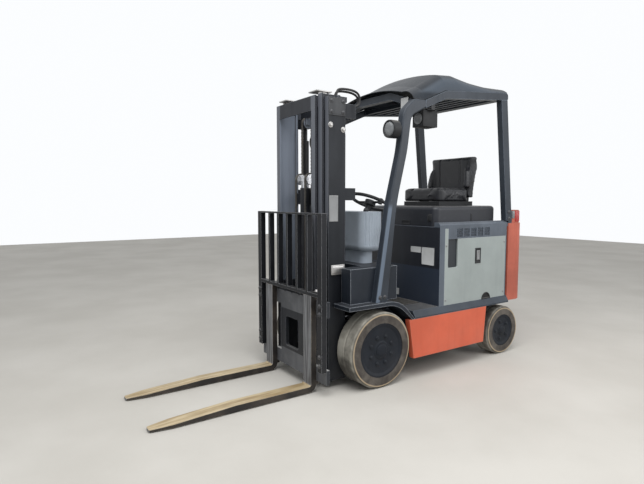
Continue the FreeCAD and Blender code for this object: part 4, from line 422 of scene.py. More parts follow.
# Wheels: press-on tyres of pale, worn rubber round flush steel discs painted dark navy.
# The treads are scrubbed pale, and a darker band of road dirt lies round each one.
def tyre_rubber(name, axle_y, radius, outer_x):
    """Worn rubber, with the tread, groove, shoulder and bead found by how far they lie from the axle."""
    finish = Finish(name, shine=0.25)
    centred = finish.stretched((1, 1, 1), (0, -axle_y, -radius))
    y, z = finish.along(centred, "Y"), finish.along(centred, "Z")
    squared = y * y + z * z
    out = squared.reckon("SQRT", squared)
    tread = out.rise(radius - 0.018, radius - 0.006)
    groove = 1.0 - out.rise(radius - 0.012, radius - 0.003)
    shoulder = out.rise(radius - 0.030, radius - 0.016)
    across = abs(finish.at("X"))
    bead = across.rise(outer_x - 0.006, outer_x - 0.001) * out.rise(radius - 0.024, radius - 0.018) * (
        1.0 - out.rise(radius - 0.016, radius - 0.010))
    scuff = finish.cloud(9, 5, 0.65)
    smear = finish.cloud(3.2, 4, 0.6)
    fine = finish.cloud(110, 4, 0.7)
    side = finish.blend(scuff.rise(0.35, 0.7), (0.055, 0.048, 0.043), (0.125, 0.112, 0.098))
    worn = finish.blend(scuff.rise(0.3, 0.7), (0.22, 0.210, 0.180), (0.38, 0.365, 0.320))
    worn = finish.blend((smear.rise(0.50, 0.66) * 0.8).held(), worn, (0.052, 0.048, 0.044))
    colour = finish.blend((tread + shoulder * 0.35 * scuff.rise(0.35, 0.6)).held(), side, worn)
    colour = finish.blend((groove * tread * 0.8).held(), colour, (0.05, 0.046, 0.04))
    colour = finish.blend((bead * 0.8).held(), colour, (0.46, 0.36, 0.24))
    return finish.complete(colour, (0.72 + 0.2 * fine).held(), fine * 0.6 + scuff * 0.8, depth=0.0012)


def disc(name, centre, axis, radius, length, sides=32):
    """A round bar across its centre, the start of a nut, cap, lens or knob."""
    bpy.ops.mesh.primitive_cylinder_add(vertices=sides, radius=radius, depth=length, location=centre,
                                        rotation=Vector(axis).to_track_quat("Z", "Y").to_euler())
    made = bpy.context.object
    made.name = name
    bpy.ops.object.transform_apply(location=True, rotation=True, scale=True)
    return made


def bolt_heads(name, places, facing, radius, body, material):
    """Hexagon heads on round washers: one is modelled on its face, and the others are copies of it."""
    facing, first = Vector(facing), Vector(places[0])
    washer = disc(name + "_washer", first + facing * radius * 0.10, facing, radius * 1.5,
                  radius * 0.24, 20)
    stepped(washer, facing, (radius * 0.12, radius * 0.05))
    head = disc(name, first + facing * radius * 0.55, facing, radius, radius * 0.75, 6)
    stepped(head, facing, (radius * 0.16, radius * 0.10))
    repeated(joined(head, washer), [Vector(place) - first for place in places[1:]])
    finished(head, material, body)


SIDES = (("left", 1), ("right", -1))
NUT_RADIUS = 0.0105
zinc = painted("zinc_plate", (0.20, 0.205, 0.21), worn=(0.42, 0.42, 0.42), gloss=0.32, dust=0.4, wear=0.4,
               shine=0.6)
black_bolts = painted("black_bolts", (0.030, 0.032, 0.036), worn=(0.16, 0.16, 0.17), gloss=0.42, dust=0.3)
navy_paint = painted("wheel_navy_paint", (0.009, 0.012, 0.018), worn=(0.06, 0.066, 0.072), gloss=0.50,
                     dust=0.06, wear=0.3, shine=0.2)
for axle, tyre_radius, tyre_face, nut_circle, nut_count, hub in (
        ("front", 0.2665, 0.515, 0.098, 8, 0.056), ("rear", 0.203, 0.490, 0.076, 5, 0.042)):
    for side, sign in SIDES:
        out = (sign, 0, 0)
        low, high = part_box(f"{axle}_tyre_{side}")
        middle_y = (low.y + high.y) / 2
        coat_nodes(tyre_rubber(f"{axle}_{side}_rubber", middle_y, tyre_radius, tyre_face),
                   f"{axle}_tyre_{side}")
        coat_nodes(navy_paint, f"{axle}_wheel_{side}")
        body = f"{axle}_{side}_wheel"
        turns = [math.tau * (number + 0.5) / nut_count for number in range(nut_count)]
        bolt_heads(f"{axle}_{side}_lug_nuts",
                   [(sign * (tyre_face - 0.011), middle_y + nut_circle * math.cos(turn),
                     tyre_radius + nut_circle * math.sin(turn)) for turn in turns],
                   out, NUT_RADIUS, body, navy_paint)
        cap = disc(f"{axle}_{side}_hub_cap", (sign * (tyre_face - 0.0035), middle_y, tyre_radius), out,
                   hub * 0.86, 0.004)
        stepped(cap, out, (hub * 0.10, 0.0), (hub * 0.06, 0.003), (hub * 0.30, 0.0025),
                (hub * 0.22, 0.0008))
        finished(cap, navy_paint, body, 0.0008)

# Cowl: pressed fenders and cheeks round the front wheels, with the toe board and the shelf behind
# the mast. Its paint is darker than the chassis paint, and bright along the edges: partly wear,
# and partly a painted highlight where the edges catch the light.
coat_nodes(painted("cowl_paint", (0.016, 0.021, 0.030), worn=(0.34, 0.37, 0.41), gloss=0.36, dust=0.10,
                   wear=0.75, radius=0.008, shine=0.25), "front_cowl")

# Battery compartment: a welded box with a bright rim and a vented band over lift-off panels in
# grey-green. Its front wall is painted dark blue as shade, and black above the height of the shelf
# as deeper painted shade. Side faces set in from its outer sides are painted near black as shade.
COMPARTMENT_FRONT, PANEL_FACE = 0.530, 0.488
compartment_paint = painted(
    "compartment_paint", (0.080, 0.097, 0.122), worn=(0.20, 0.24, 0.30), gloss=0.34, dust=0.2, areas=(
        # painted shade: forward faces below the rim turn dark blue
        (lambda f: f.ahead() * f.below(1.096, 1.102), (0.024, 0.033, 0.052)),
        # painted shade: forward faces above the shelf's height turn black
        (lambda f: f.ahead() * f.at("Z").rise(0.780, 0.784) * f.below(1.096, 1.102),
         (0.012, 0.014, 0.020)),
        # painted shade: side faces set in from the outer sides turn near black
        (lambda f: abs(f.faces("X")).rise(0.6, 0.9) * (1.0 - abs(f.at("X")).rise(0.4765, 0.4800)),
         (0.020, 0.024, 0.030))))
coat_nodes(compartment_paint, "battery_compartment")
panel_paint = painted("panel_grey_paint", (0.290, 0.325, 0.320), worn=(0.46, 0.48, 0.49), gloss=0.40,
                      dust=0.06, wear=0.4, mottle=0.35)
coat_nodes(panel_paint, "battery_panels")
coat_nodes(painted("battery_case_paint", (0.020, 0.021, 0.023), gloss=0.55), "battery")

# Vent grilles: pressed slats in the five windows of the band, in the chassis paint. Each window
# has five slats, one above the other.
VENT_FIRST, VENT_PITCH, VENT_WIDTH, VENT_LOW = 0.715, 0.082, 0.068, 1.019
WINDOWS, SLATS, SLAT_PITCH = 5, 5, 0.0130
for side, sign in SIDES:
    slat = block(f"vent_slats_{side}",
                 (sign * (PANEL_FACE - 0.0055), VENT_FIRST + 0.001, VENT_LOW + 0.004),
                 (sign * (PANEL_FACE - 0.001), VENT_FIRST + VENT_WIDTH - 0.001, VENT_LOW + 0.011))
    stepped(slat, (sign, 0, 0), (0.0018, 0.0012))
    repeated(slat, [(0, VENT_PITCH * window, SLAT_PITCH * step)
                    for window in range(WINDOWS) for step in range(SLATS) if window or step])
    finished(slat, charcoal_paint, "chassis")


# Panel fittings: a sunk latch that lifts the panel off, a screw near each corner, and a rubber
# grommet round the cable hole at the panel's foot.
def upper_half(piece, height):
    """Cuts off what lies below a height, and closes the cut."""
    bpy.ops.object.mode_set(mode="EDIT")
    bpy.ops.mesh.select_all(action="SELECT")
    bpy.ops.mesh.bisect(plane_co=(0, 0, height), plane_no=(0, 0, 1), use_fill=True, clear_inner=True)
    bpy.ops.object.mode_set(mode="OBJECT")


black_plastic = moulded("black_plastic", (0.012, 0.013, 0.015), 0.40, shine=0.35)
for side, sign in SIDES:
    out = (sign, 0, 0)
    cup = block(f"panel_latch_cup_{side}", (sign * (PANEL_FACE - 0.001), 0.936, 0.800),
                (sign * (PANEL_FACE + 0.004), 1.003, 0.924))
    stepped(cup, out, (0.007, 0.0), (0.003, -0.0035))
    finished(cup, black_plastic, "chassis", 0.0015)
    pull = block(f"panel_latch_pull_{side}", (sign * (PANEL_FACE + 0.0006), 0.952, 0.828),
                 (sign * (PANEL_FACE + 0.0065), 0.987, 0.905))
    stepped(pull, out, (0.006, 0.001), (0.004, -0.002))
    finished(pull, zinc, "chassis", 0.0015)
    bolt_heads(f"panel_screws_{side}",
               [(sign * PANEL_FACE, y, z) for y in (0.602, 1.305) for z in (0.54, 0.96)],
               out, 0.006, "chassis", zinc)
    collar = disc(f"cable_hole_edge_{side}", (sign * (PANEL_FACE - 0.001), 1.081, 0.5003), out,
                  0.054, 0.010, 48)
    upper_half(collar, 0.5005)
    stepped(collar, out, (0.007, 0.0), (0.002, -0.008))
    finished(collar, black_rubber, "chassis", 0.001)

# Data plates: blank aluminium plates with rivets, on the compartment's front wall, and a blank
# triangular one beside them. Each has a thin rim.
PLATE_RIM = (0.005, 0.0), (0.001, -0.0006)
PLATE_FACE, PLATE_BACK, RIVET_INSET = COMPARTMENT_FRONT - 0.0022, COMPARTMENT_FRONT + 0.0005, 0.005
plate_white = painted("plate_pale", (0.52, 0.53, 0.53), worn=(0.30, 0.30, 0.30), gloss=0.30, dust=0.1,
                      wear=0.5)
for name, x_low, x_high, z_low, z_high in (("blank_plate_narrow", 0.181, 0.294, 0.892, 0.938),
                                           ("blank_plate_square", 0.302, 0.431, 0.804, 0.939),
                                           ("blank_plate_low", -0.075, 0.049, 0.523, 0.576)):
    plate = block(name, (x_low, PLATE_FACE, z_low), (x_high, PLATE_BACK, z_high))
    stepped(plate, (0, -1, 0), *PLATE_RIM)
    finished(plate, plate_white, "chassis", 0.0006)
    corners = [(x, PLATE_FACE, z) for x in (x_low + RIVET_INSET, x_high - RIVET_INSET)
               for z in (z_low + RIVET_INSET, z_high - RIVET_INSET)]
    bolt_heads(name + "_rivets", corners, (0, -1, 0), 0.0018, "chassis", zinc)
triangle = disc("blank_triangle", (-0.0145, COMPARTMENT_FRONT - 0.0008, 0.680), (0, -1, 0),
                0.040, 0.0028, 3)
stepped(triangle, (0, -1, 0), *PLATE_RIM)
finished(triangle, plate_white, "chassis", 0.0006)

# Counterweight: a heavy iron casting in orange-red. The tail lamps sit on its shoulders,
# in orange housings with a red lens behind and a clear one ahead.
weight_paint = painted("counterweight_paint", (0.42, 0.098, 0.060), worn=(0.30, 0.20, 0.17), gloss=0.38,
                       dust=0.2, wear=0.3)
coat_nodes(weight_paint, "counterweight", "rear_lamps")
LENS_RIBS = 900


def lens(name, colour):
    """A moulded lens with fine upright ribs."""
    finish = Finish(name, shine=0.7)
    across = finish.at("X") * LENS_RIBS + finish.at("Y") * LENS_RIBS
    haze = finish.cloud(12, 4)
    base = finish.blend(haze * 0.5, colour, shade_of(colour, 0.6))
    return finish.complete(base, 0.12 + 0.15 * haze, across.reckon("SINE", across), depth=0.0006)


red_lens, clear_lens = lens("lens_red", (0.42, 0.020, 0.016)), lens("lens_clear", (0.20, 0.21, 0.22))
for side, sign in SIDES:
    for name, y_low, y_high, z_low, z_high, glass in (
            ("tail_lens_red", 1.446, 1.506, 1.122, 1.214, red_lens),
            ("tail_lens_clear", 1.408, 1.440, 1.150, 1.214, clear_lens)):
        cover = block(f"{name}_{side}", (sign * 0.4355, y_low, z_low), (sign * 0.4885, y_high, z_high))
        stepped(cover, (sign, 0, 0), (0.006, 0.0), (0.004, 0.0012))
        finished(cover, glass, "chassis", 0.004)

# Dash: a fluted grey moulding on a pedestal. A small instrument pod stands on its top,
# with a dark window towards the seat, and a round switch beside it.
coat_nodes(moulded("dash_grey_plastic", (0.345, 0.395, 0.455), 0.42), "dash")
coat_nodes(black_plastic, "steering_column", "steering_wheel", "levers_and_pedals")
pod = block("instrument_pod", (-0.255, 0.010, 1.2195), (-0.130, 0.100, 1.272))
stepped(pod, (0, 1, 0), (0.008, 0.0), (0.003, -0.004))
finished(pod, black_plastic, "chassis", 0.010)
window_glass = moulded("instrument_window", (0.030, 0.045, 0.050), 0.08, dust=0.02, scuffed=0.1,
                       shine=0.7)
window = block("instrument_window", (-0.243, 0.095, 1.231), (-0.142, 0.0975, 1.261))
stepped(window, (0, 1, 0), (0.004, 0.0006))
finished(window, window_glass, "chassis", 0.0008)
switch = disc("dash_switch", (0.190, 0.055, 1.2265), (0, 0, 1), 0.020, 0.014)
stepped(switch, (0, 0, 1), (0.004, 0.002), (0.003, 0.010), (0.003, 0.001))
finished(switch, black_plastic, "chassis", 0.0015)

# Controls: a knob on the top of each hydraulic lever, which is found in the lever node's mesh,
# and a spinner knob on the steering wheel's left.
LEVERS_ABOVE, KNOBS_ABOVE, LEVER_SPACING, LEVER_AXIS = 1.15, 1.24, 0.045, Vector((0, 0.25, 1))
lever_tops = {}
for vertex in node["levers_and_pedals"].data.vertices:
    if vertex.co.z > LEVERS_ABOVE:
        column = round(vertex.co.x / LEVER_SPACING)
        top = lever_tops.setdefault(column, vertex.co.copy())
        if vertex.co.z > top.z:
            lever_tops[column] = vertex.co.copy()
for number, top in enumerate(top for top in lever_tops.values() if top.z > KNOBS_ABOVE):
    knob = disc(f"lever_knob_{number}", (top.x, top.y, top.z - 0.010), LEVER_AXIS, 0.0155, 0.034, 24)
    stepped(knob, LEVER_AXIS.normalized(), (0.004, 0.003), (0.005, 0.002))
    finished(knob, black_plastic, "chassis", 0.005)
WHEEL_LEAN = math.radians(24)
SPINNER_AXIS = Vector((0, math.sin(WHEEL_LEAN), math.cos(WHEEL_LEAN)))
spinner = disc("steering_spinner", Vector((0.150, 0.222, 1.275)) + SPINNER_AXIS * 0.020, SPINNER_AXIS,
               0.018, 0.040, 28)
stepped(spinner, SPINNER_AXIS, (0.003, 0.003), (0.006, 0.003))
finished(spinner, black_plastic, "chassis", 0.005)

# Hood: a moulded black lid over the battery, with the sprung seat bolted on it. A latch holds
# its front edge, an oval cup takes the hand, and a seam strip runs down each side.
coat_nodes(moulded("hood_black_plastic", (0.014, 0.016, 0.022), 0.27, dust=0.10, shine=0.45), "hood")
coat_nodes(black_plastic, "seat_frame")
latch = block("hood_latch", (0.340, 0.5425, 1.140), (0.383, 0.5495, 1.196))
stepped(latch, (0, -1, 0), (0.006, 0.0), (0.003, 0.004), (0.006, 0.001))
finished(latch, black_plastic, "hood_lid", 0.003)
cup = block("hood_hand_cup", (0.053, 0.5455, 1.107), (0.147, 0.5495, 1.142))
stepped(cup, (0, -1, 0), (0.004, 0.0), (0.004, -0.003))
finished(cup, black_plastic, "hood_lid", 0.006)
for side, sign in SIDES:
    strip = block(f"hood_seam_{side}", (sign * 0.4185, 0.955, 1.106), (sign * 0.4225, 0.967, 1.196))
    stepped(strip, (sign, 0, 0), (0.002, 0.001))
    finished(strip, black_plastic, "hood_lid", 0.001)

# Overhead guard: pressed pillars in the chassis paint with a painted highlight down the front
# edge, a light strip where a bevel would catch the light, a roof frame of bars and a smoked
# moulded canopy over it, painted lighter high on its sides as a highlight.
PILLAR_FOOT, PILLAR_TOE, PILLAR_RAKE, HIGHLIGHT_STRIP_WIDTH, KNEE = 0.598, -0.099, 0.1606, 0.034, 1.285
PILLAR_FACE, HEADLAMP_X, HEADLAMP_Z = 0.495, 0.470, 1.790


def pillar_painted_highlight(f):
    """A painted highlight: the light strip down the front edge of the front pillar's outer face, up to
    its knee.
    """
    back = f.at("Y") - PILLAR_TOE - (f.at("Z") - PILLAR_FOOT) * PILLAR_RAKE
    strip = 1.0 - back.rise(HIGHLIGHT_STRIP_WIDTH - 0.002, HIGHLIGHT_STRIP_WIDTH + 0.001)
    outer = abs(f.faces("X")).rise(0.5, 0.8)
    front_pillar = 1.0 - f.at("Y").rise(0.40, 0.45)
    return strip * f.below(KNEE - 0.05, KNEE) * outer * front_pillar


# the pillar paint carries the painted highlight strip down the front pillar's front edge
pillar_paint = painted("pillar_paint", (0.026, 0.033, 0.044), worn=(0.20, 0.24, 0.30), gloss=0.33,
                       wear=0.55, dust=0.12, shine=0.3, areas=((pillar_painted_highlight, (0.115, 0.147, 0.195)),))
coat_nodes(pillar_paint, "front_pillars", "rear_pillars", "roof_frame")
canopy_smoke_and_highlight = moulded("canopy_smoke_plastic", (0.014, 0.018, 0.024), 0.28, dust=0.03, shine=0.2, areas=(
    # painted highlight: side faces above 2.06 m are lightened
    (lambda f: abs(f.faces("X")).rise(0.55, 0.80) * f.at("Z").rise(2.06, 2.10), (0.046, 0.057, 0.072)),))
coat_nodes(canopy_smoke_and_highlight, "canopy")
coat_nodes(black_plastic, "headlamps")
for side, sign in SIDES:
    out = (sign, 0, 0)
    for name, places in (("front", ((-0.062, 0.635), (-0.022, 0.635))),
                         ("rear", ((1.352, 1.150), (1.345, 1.205)))):
        bolt_heads(f"{name}_pillar_bolts_{side}", [(sign * PILLAR_FACE, y, z) for y, z in places],
                   out, 0.010, "chassis", black_bolts)
    ring = disc(f"headlamp_ring_{side}", (sign * HEADLAMP_X, 0.0255, HEADLAMP_Z), (0, -1, 0),
                0.0610, 0.010, 48)
    stepped(ring, (0, -1, 0), (0.008, 0.001), (0.003, -0.008))
    finished(ring, black_plastic, "chassis", 0.001)
    glass = disc(f"headlamp_glass_{side}", (sign * HEADLAMP_X, 0.0270, HEADLAMP_Z), (0, -1, 0),
                 0.0490, 0.006, 48)
    stepped(glass, (0, -1, 0), (0.006, 0.0035), (0.010, 0.0030), (0.014, 0.0015))
    finished(glass, clear_lens, "chassis", 0.0005)

# Roof lamp: a square box under the roof's left rail, on a short bracket, with a round glass
# towards the front.
lamp_box = block("roof_lamp_box", (0.315, 0.395, 1.845), (0.425, 0.545, 1.965))
stepped(lamp_box, (0, -1, 0), (0.008, 0.0), (0.003, -0.004))
finished(lamp_box, black_plastic, "chassis", 0.008)
bracket = block("roof_lamp_bracket", (0.395, 0.450, 1.958), (0.452, 0.490, 1.966))
joined(bracket, block("roof_lamp_upright", (0.446, 0.450, 1.958), (0.452, 0.490, 2.035)))
finished(bracket, black_bolts, "chassis", 0.0012)
glass = disc("roof_lamp_glass", (0.370, 0.3975, 1.905), (0, -1, 0), 0.042, 0.006, 48)
stepped(glass, (0, -1, 0), (0.005, 0.002), (0.010, 0.0025), (0.012, 0.001))
finished(glass, clear_lens, "chassis", 0.0005)
tag = block("blank_roof_tag", (0.320, 0.2700, 1.968), (0.395, 0.2745, 2.045))
stepped(tag, (0, -1, 0), (0.006, 0.0), (0.001, -0.0008))
finished(tag, plate_white, "chassis", 0.0008)

# Mast: three nested stages of rolled rail in black paint. Rollers wear the rails' inner faces
# and the edges of their flanges down to grey steel.
INWARD, RAIL_NEAREST = 0.12, 0.215


def inner_faces(f):
    """The faces of a rail that look towards the middle of the truck."""
    return (-1.0 * f.at("X") * f.faces("X")).rise(INWARD * 0.6, INWARD)


def rubbed_front(f):
    """Long rubbed patches on the rails' forward faces."""
    rub = f.cloud(1, 4, 0.6, f.stretched((9, 9, 1.6), (0, 0, 0.7)))
    rail = f.ahead() * abs(f.at("X")).rise(RAIL_NEAREST - 0.01, RAIL_NEAREST)
    return rail * (rub + f.at("Z").rise(1.0, 1.4) * 0.20 - 0.05).rise(0.43, 0.56)


def mast_paint(name, colour, areas=(), worn=(0.20, 0.215, 0.24), wear=0.6):
    """The dull black paint of the mast and the carriage."""
    return painted(name, colour, worn=worn, gloss=0.38, dust=0.10, wear=wear, radius=0.004, shine=0.22,
                   areas=areas)


for stage, colour, inner_shade, front_shade in (
        ("outer", (0.010, 0.012, 0.016), (0.060, 0.067, 0.082), (0.125, 0.134, 0.156)),
        ("middle", (0.016, 0.018, 0.023), (0.150, 0.170, 0.205), (0.130, 0.140, 0.164)),
        ("inner", (0.020, 0.022, 0.028), (0.175, 0.200, 0.245), (0.120, 0.130, 0.152))):
    coat_nodes(mast_paint(f"{stage}_mast_paint", colour,
                          ((inner_faces, inner_shade), (rubbed_front, front_shade))), f"{stage}_mast")
coat_nodes(mast_paint("cylinder_paint", (0.020, 0.022, 0.027)), "lift_cylinders", "free_lift_cylinder",
           "tilt_cylinders")


def bare_steel(name, colour, gloss):
    """Bare metal, brushed along its length, with oil in patches."""
    finish = Finish(name, metallic=0.9)
    lines = finish.cloud(1, 3, 0.6, finish.stretched((260, 260, 5)))
    oil = finish.cloud(14, 3).rise(0.5, 0.7)
    base = finish.blend(oil * 0.5, colour, shade_of(colour, 0.5))
    rough = (gloss + 0.2 * lines - 0.06 * oil).held()
    return finish.complete(base, rough, lines, depth=0.00015, softened=0.0015)


coat_nodes(bare_steel("rod_chrome", (0.55, 0.56, 0.58), 0.14), "lift_rods", "tilt_rods", "crosshead")
steel_fittings = bare_steel("fitting_steel", (0.42, 0.41, 0.40), 0.30)
MAST_SIDE = 0.325
for side, sign in SIDES:
    out = (sign, 0, 0)
    head_plate = block(f"mast_head_plate_{side}", (sign * (MAST_SIDE - 0.001), -0.378, 1.868),
                       (sign * (MAST_SIDE + 0.005), -0.242, 1.984))
    stepped(head_plate, out, (0.008, 0.0), (0.002, 0.0012))
    finished(head_plate, black_bolts, "mast", 0.002)
    bolt_heads(f"mast_head_bolts_{side}",
               [(sign * (MAST_SIDE + 0.0062), y, z) for y in (-0.358, -0.262) for z in (1.890, 1.962)],
               out, 0.009, "mast", black_bolts)
    bolt_heads(f"mast_roller_pins_{side}",
               [(sign * MAST_SIDE, -0.362, 1.804), (sign * MAST_SIDE, -0.258, 1.778)],
               out, 0.013, "mast", steel_fittings)
    name_plate = block(f"mast_blank_plate_{side}", (sign * (MAST_SIDE - 0.0005), -0.372, 1.160),
                       (sign * (MAST_SIDE + 0.002), -0.300, 1.336))
    stepped(name_plate, out, (0.006, 0.0), (0.001, -0.0006))
    finished(name_plate, zinc, "mast", 0.0006)
    fitting = block(f"mast_grease_block_{side}", (sign * (MAST_SIDE - 0.001), -0.362, 0.796),
                    (sign * (MAST_SIDE + 0.012), -0.250, 0.864))
    stepped(fitting, out, (0.010, 0.0), (0.004, 0.003))
    finished(fitting, steel_fittings, "mast", 0.003)

# Hoses: two rubber hoses up each side of the middle stage. They bend over above its top
# crossmember and come back to it, with steel ferrules where they end.
hose_rubber = moulded("hose_rubber", (0.014, 0.014, 0.015), 0.5, grain=300, dust=0.15)
HOSE_RADIUS, HOSE_Y = 0.0082, -0.232


def hose_along(name, points):
    """A hose along a smooth curve that the points guide."""
    line = bpy.data.curves.new(name, "CURVE")
    line.dimensions, line.bevel_depth, line.bevel_resolution = "3D", HOSE_RADIUS, 3
    line.use_fill_caps, line.resolution_u = True, 8
    spline = line.splines.new("NURBS")
    spline.points.add(len(points) - 1)
    for point, place in zip(spline.points, points):
        point.co = (*place, 1.0)
    spline.order_u, spline.use_endpoint_u = 3, True
    made = bpy.data.objects.new(name, line)
    bpy.context.scene.collection.objects.link(made)
    chosen(made)
    bpy.ops.object.convert(target="MESH")
    return bpy.context.object


for side, sign in SIDES:
    for number, x, top in ((1, 0.1855, 2.068), (2, 0.2035, 2.082)):
        x *= sign
        path = [(HOSE_Y, 0.30), (HOSE_Y, 1.20), (HOSE_Y, 1.95), (-0.228, top - 0.02), (-0.190, top),
                (-0.070, top), (-0.020, top - 0.03), (-0.022, 1.985), (-0.070, 1.962), (-0.165, 1.962)]
        hose = hose_along(f"mast_hose_{side}_{number}", [(x, y, z) for y, z in path])
        finished(hose, hose_rubber, "middle_stage")
        for label, place, axis in (("low", (x, HOSE_Y, 0.305), (0, 0, 1)),
                                   ("high", (x, -0.158, 1.962), (0, 1, 0))):
            ferrule = disc(f"hose_ferrule_{label}_{side}_{number}", place, axis, HOSE_RADIUS * 1.35,
                           0.034, 18)
            stepped(ferrule, axis, (0.002, 0.001), (0.0008, 0.004))
            finished(ferrule, steel_fittings, "middle_stage", 0.001)

# Hose guides: a bright steel plate on each side of the inner stage's top, held a little above it
# by a short leg.
for side, sign in SIDES:
    guide = block(f"hose_guide_{side}", (sign * 0.150, -0.425, 2.030), (sign * 0.255, -0.300, 2.038))
    stepped(guide, (0, 0, 1), (0.010, 0.0), (0.002, 0.0015))
    leg = block(f"hose_guide_leg_{side}", (sign * 0.228, -0.400, 1.997), (sign * 0.240, -0.330, 2.031))
    stepped(leg, (sign, 0, 0), (0.004, 0.001))
    joined(guide, leg)
    finished(guide, steel_fittings, "inner_stage", 0.0015)

# Chains: greased leaf chain of steel plates on pins. Each strand runs from its anchor to its
# sheave and bends over it. The front ones are fixed to the body at their anchor, and the rear
# ones to no body.
chain_steel = Finish("chain_steel", metallic=0.6)
grease = chain_steel.cloud(30, 3)
rust = chain_steel.cloud(9, 4).rise(0.55, 0.75)
chain_colour = chain_steel.blend(grease, (0.060, 0.056, 0.052), (0.17, 0.16, 0.145))
chain_colour = chain_steel.blend(rust * 0.5, chain_colour, (0.085, 0.052, 0.032))
chain_steel.complete(chain_colour, 0.36 + 0.2 * grease, grease, depth=0.0005)
LINK_PITCH, CHAIN_WIDTH, CHAIN_THICK, CHAIN_OVER_SHEAVE = 0.0127, 0.018, 0.009, 0.0465
PLATE_THICK, PLATE_STEP, PIN_RADIUS = 0.0019, 0.0025, 0.0022
CARRIAGE_TAKES, STAGE_TAKES, FREE_FRONT_LENGTH, LIFT_FRONT_LENGTH = 0.59, 1.45, 0.881, 1.689


def chain_strand(name, x, y, low, high):
    """A straight strand between two heights: two pitches of chain, repeated upwards."""
    units = int((high - low) / (2 * LINK_PITCH))
    pitch = (high - low) / units / 2
    plates = [(step, low) for step in (-3, -1, 1, 3)] + [(step, low + pitch) for step in (-2, 0, 2)]
    made = []
    for number, (step, foot) in enumerate(plates):
        plate_x = x + step * PLATE_STEP
        made.append(block(f"{name}_leaf_{number}", (plate_x - PLATE_THICK / 2, y - CHAIN_THICK / 2, foot),
                          (plate_x + PLATE_THICK / 2, y + CHAIN_THICK / 2, foot + pitch * 0.99)))
    for number in range(2):
        made.append(disc(f"{name}_pin_{number}", (x, y, low + pitch * (number + 0.5)), (1, 0, 0),
                         PIN_RADIUS, CHAIN_WIDTH, 6))
    strand = joined(*made)
    modified(strand, "BEVEL", width=0.0006, segments=1, limit_method="ANGLE")
    modified(strand, "ARRAY", use_relative_offset=False, use_constant_offset=True,
             constant_offset_displace=(0, 0, 2 * pitch), count=units)
    return strand


for chain, x, y, low, high, body, sheave, joint, keep in (
        ("free_chains_front", 0.062, -0.397, 0.571, 1.452, "fork_carriage", "crosshead_stage",
         "carriage_lift", 1 - CARRIAGE_TAKES / FREE_FRONT_LENGTH),
        ("free_chains_rear", 0.062, -0.313, 0.850, 1.452, "inner_stage", "crosshead_stage", None, 1),
        ("lift_chains_front", 0.165, -0.279, 0.191, 1.880, "inner_stage", "middle_stage",
         "inner_lift", 1 - STAGE_TAKES / LIFT_FRONT_LENGTH),
        ("lift_chains_rear", 0.165, -0.195, 0.460, 1.880, "mast", "middle_stage", None, 1)):
    left, right = (chain_strand(f"{chain}_{side}", sign * x, y, low, high) for side, sign in SIDES)
    joined(left, right)
    left.name = f"{chain}_links"
    finished(left, chain_steel.material, body if joint else None)
    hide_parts(chain)
    if joint:
        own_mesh(left)
    else:
        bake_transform(left)
for name, x, y, z, body in (("free_chain_bend", 0.062, -0.355, 1.452, "crosshead_stage"),
                            ("lift_chain_bend", 0.165, -0.237, 1.880, "middle_stage")):
    for side, sign in SIDES:
        bend = disc(f"{name}_{side}", (sign * x, y, z), (1, 0, 0), CHAIN_OVER_SHEAVE, CHAIN_WIDTH, 48)
        upper_half(bend, z + 0.0005)
        stepped(bend, (sign, 0, 0), (0.002, -0.0008))
        finished(bend, chain_steel.material, body, 0.0008)

# Carriage: two forged bars on side plates, with the load backrest bolted to its front. The front
# faces are rubbed grey but for a dark middle, and the top of the lower bar is bright.
coat_nodes(mast_paint("carriage_paint", (0.022, 0.025, 0.031), (
    (lambda f: f.ahead() * (0.55 + f.cloud(6, 4).rise(0.40, 0.62) * 0.4), (0.120, 0.125, 0.136)),
    (lambda f: f.ahead() * (1.0 - abs(f.at("X")).rise(0.166, 0.170)) * f.at("Z").rise(0.205, 0.209)
        * f.below(0.505, 0.509), (0.014, 0.016, 0.021)),
    (lambda f: f.faces("Z").rise(0.6, 0.9) * f.below(0.20, 0.24), (0.46, 0.46, 0.45)))), "carriage")
coat_nodes(mast_paint("backrest_paint", (0.010, 0.011, 0.014), worn=(0.36, 0.37, 0.39), wear=0.8),
           "load_backrest")
for side, sign in SIDES:
    bolt_heads(f"backrest_bolts_{side}",
               [(sign * 0.420, -0.515, z) for z in (0.215, 0.275, 0.560, 0.615)], (0, -1, 0), 0.011, "fork_carriage", black_bolts)

# Forks: forged steel, hooked on the carriage and held by a locking pin at each hook. The blades'
# tops are worn to a straw-coloured shine, the shanks to grey, and the sides are dark: a dark scale,
# and painted shade as well.
fork_steel = Finish("fork_worn_steel", shine=0.35)
rubbed = fork_steel.cloud(1, 5, 0.65, fork_steel.stretched((34, 3.0, 34)))
upright_rub = fork_steel.cloud(1, 5, 0.65, fork_steel.stretched((60, 60, 3.0)))
patch = fork_steel.cloud(7, 5, 0.6)
top_side = fork_steel.faces("Z").rise(0.35, 0.8)
front_side = (-1.0 * fork_steel.faces("Y")).rise(0.4, 0.85)
